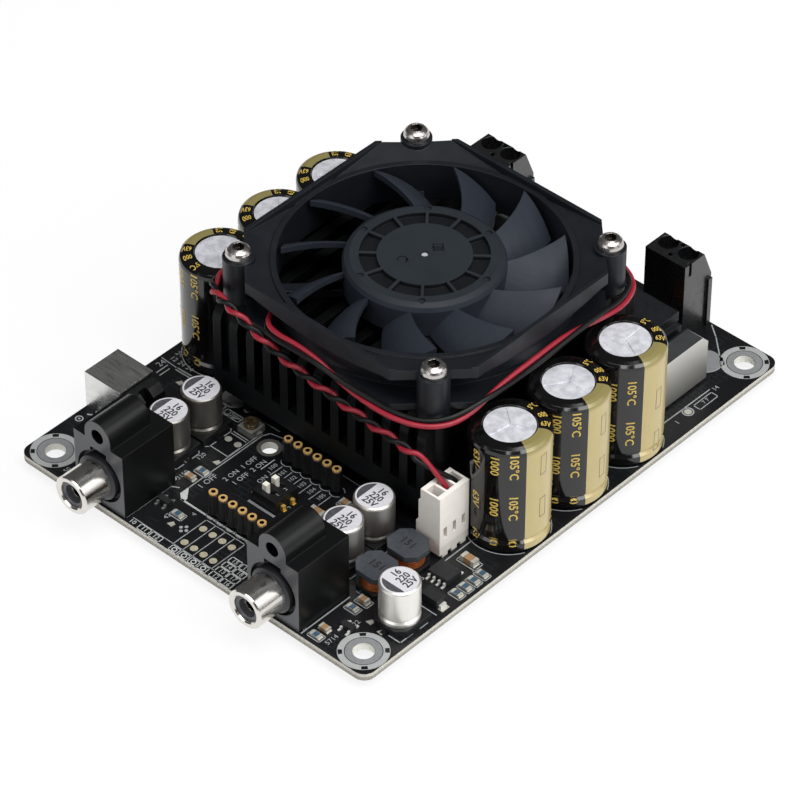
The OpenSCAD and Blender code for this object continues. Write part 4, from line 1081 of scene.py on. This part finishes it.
def can_mark(p, x, y, turn, shift):
    """A dark segment and three rows of numbers on a can's top."""
    ahead = Vector((math.cos(math.radians(turn)), math.sin(math.radians(turn))))
    down = Vector((ahead.y, -ahead.x))
    arc = [math.radians(turn + 180 - 58 + 116 * n / 12) for n in range(13)]
    p.slot = 1
    p.area([(x + 3.28 * math.cos(a), y + 3.28 * math.sin(a)) for a in arc])
    p.slot = 0
    for row, label in enumerate(("16", "220", "25V")):
        spot = Vector((x, y)) + down * (-1.75 + 1.8 * row) + ahead * shift
        p.text(label, spot.x, spot.y, 2.15, turn, 0.04, 0.9)


def can_marks():
    p = Print(level(CAN_TOP))
    for x, y in PAIRED_CANS:
        can_mark(p, x, y, 0, 0.55)
    can_mark(p, *LONE_CAN, 90, 0.9)
    p.done("can_marks", [DARK_INK, SEGMENT_INK])


def switch_marks():
    p = Print(level(SWITCH_TOP))
    p.text("1", 1.9, -37.4, 1.1, 90)
    p.text("2", 1.9, -35.2, 1.1, 90)
    p.done("switch_marks", [THIN_INK])


def hub_marks():
    """A lozenge and a curved arrow on the fan hub."""
    p = Print(level(HUB_TOP))
    x, y = 0.6, 8.9
    p.line([(x - 1.3, y), (x, y + 1.3), (x + 1.3, y), (x, y - 1.3), (x - 1.3, y)], 0.22)
    p.line([(x - 0.7, y - 0.6), (x + 0.6, y + 0.7)], 0.4)
    p.line([(x - 0.2, y - 0.9), (x + 0.9, y + 0.2)], 0.3)
    x, y = -2.0, 1.6
    p.ring(x, y, 0.75, 1.05, 30, 250)
    p.area([(x + 0.3, y + 0.9), (x + 1.3, y + 0.5), (x + 1.0, y - 0.4)])
    p.done("hub_marks", [HUB_INK], "rotor")


def drum_marks():
    p = Print(level(DRUM_TOP))
    for x, y in DRUMS:
        p.text("151", x, y, 2.4, 0, 0.05)
    p.done("drum_marks", [DARK_INK])


def chip_coats():
    """Tinned ends and solder of the chip parts, the glaze on resistors and the tan bodies of capacitors."""
    p = Print(level(BOARD_TOP))
    foot = 0.002
    for x, y, (long, wide, tall, _, _) in CHIPS:
        end = 0.22 * long
        half = wide / 2 + 0.03
        p.slot = 0
        for s in (-1, 1):
            inner, tip, toe = (x + s * (long / 2 + d) for d in (-end, 0.04, 0.26))
            p.patch(inner, tip, y - half, y + half, foot, tall + 0.03)
            p.patch(tip, toe, y - half, y + half, foot, 0.14)
        resistor = tall < 0.6
        p.slot = 1 if resistor else 2
        reach = long / 2 - end - 0.02
        half = wide / 2 - (0.06 if resistor else -0.01)
        p.patch(x - reach, x + reach, y - half, y + half, tall if resistor else foot, tall + 0.02)
    glaze = surface("chip_glaze", tone(58, 86, 104), 0.22, spread=0.15, size=0.5, grain=0.1, bump=0.1)
    tan = surface("chip_tan", tone(150, 118, 84), 0.4, spread=0.1, size=0.5, grain=0.1, bump=0.2)
    p.done("chip_coats", [TIN_PAD, glaze, tan])


can_marks()
switch_marks()
hub_marks()
drum_marks()
chip_coats()


# Floor and light

FLOOR_HALF = 4
FLOOR_GAP = 0.00002
FLOOR_GLOW = 0.86
PART_MIDDLE = (0, 0, 0.01)


def floor_look():
    """A pale floor that is white where it is seen, straight or mirrored, and still keeps the shadow."""
    material = bpy.data.materials.new("floor")
    material.use_nodes = True
    tree = material.node_tree
    tree.nodes.clear()

    def add(kind, *feeds):
        node = tree.nodes.new(kind)
        for socket, feed in zip(node.inputs, feeds):
            tree.links.new(feed, socket)
        return node

    path = add("ShaderNodeLightPath").outputs
    first = add("ShaderNodeMath", path["Is Camera Ray"], path["Is Glossy Ray"])
    first.operation = "MAXIMUM"
    seen = add("ShaderNodeMath", first.outputs[0], path["Is Transmission Ray"])
    seen.operation = "MAXIMUM"
    share = add("ShaderNodeMath", seen.outputs[0])
    share.operation = "MULTIPLY"
    share.inputs[1].default_value = FLOOR_GLOW
    plain = add("ShaderNodeBsdfDiffuse")
    plain.inputs["Color"].default_value = (0.9, 0.9, 0.9, 1)
    glow = add("ShaderNodeEmission")
    glow.inputs["Strength"].default_value = 1
    mix = add("ShaderNodeMixShader", share.outputs[0], plain.outputs[0], glow.outputs[0])
    add("ShaderNodeOutputMaterial", mix.outputs[0])
    return material


def floor():
    data = bpy.data.meshes.new("floor")
    z = cad_box[0][2] - FLOOR_GAP
    corners = [(x * FLOOR_HALF, y * FLOOR_HALF, z) for x, y in ((-1, -1), (1, -1), (1, 1), (-1, 1))]
    data.from_pydata(corners, [], [(0, 1, 2, 3)])
    obj = bpy.data.objects.new("floor", data)
    scene.collection.objects.link(obj)
    data.materials.append(floor_look())


def lamp(name, place, aim, size, power):
    data = bpy.data.lights.new(name, "AREA")
    data.shape = "RECTANGLE"
    data.size, data.size_y = size
    data.energy = power
    obj = bpy.data.objects.new(name, data)
    scene.collection.objects.link(obj)
    obj.location = place
    obj.rotation_euler = (Vector(aim) - Vector(place)).to_track_quat("-Z", "Y").to_euler()


def studio(strength):
    world = bpy.data.worlds.new("studio")
    scene.world = world
    world.use_nodes = True
    background = world.node_tree.nodes["Background"]
    background.inputs[0].default_value = (1, 1, 1, 1)
    background.inputs[1].default_value = strength


floor()
lamp("key", (0.95, 0.1, 0.8), PART_MIDDLE, (0.6, 0.8), 7.5)
lamp("back", (0.8, 0.66, 0.52), PART_MIDDLE, (0.45, 0.95), 2.0)
lamp("top", (0.25, -0.1, 1.15), (0, 0, 0), (0.9, 0.9), 11.5)
lamp("fill", (-0.1, -1.0, 0.6), PART_MIDDLE, (0.8, 0.6), 3)
studio(0.08)
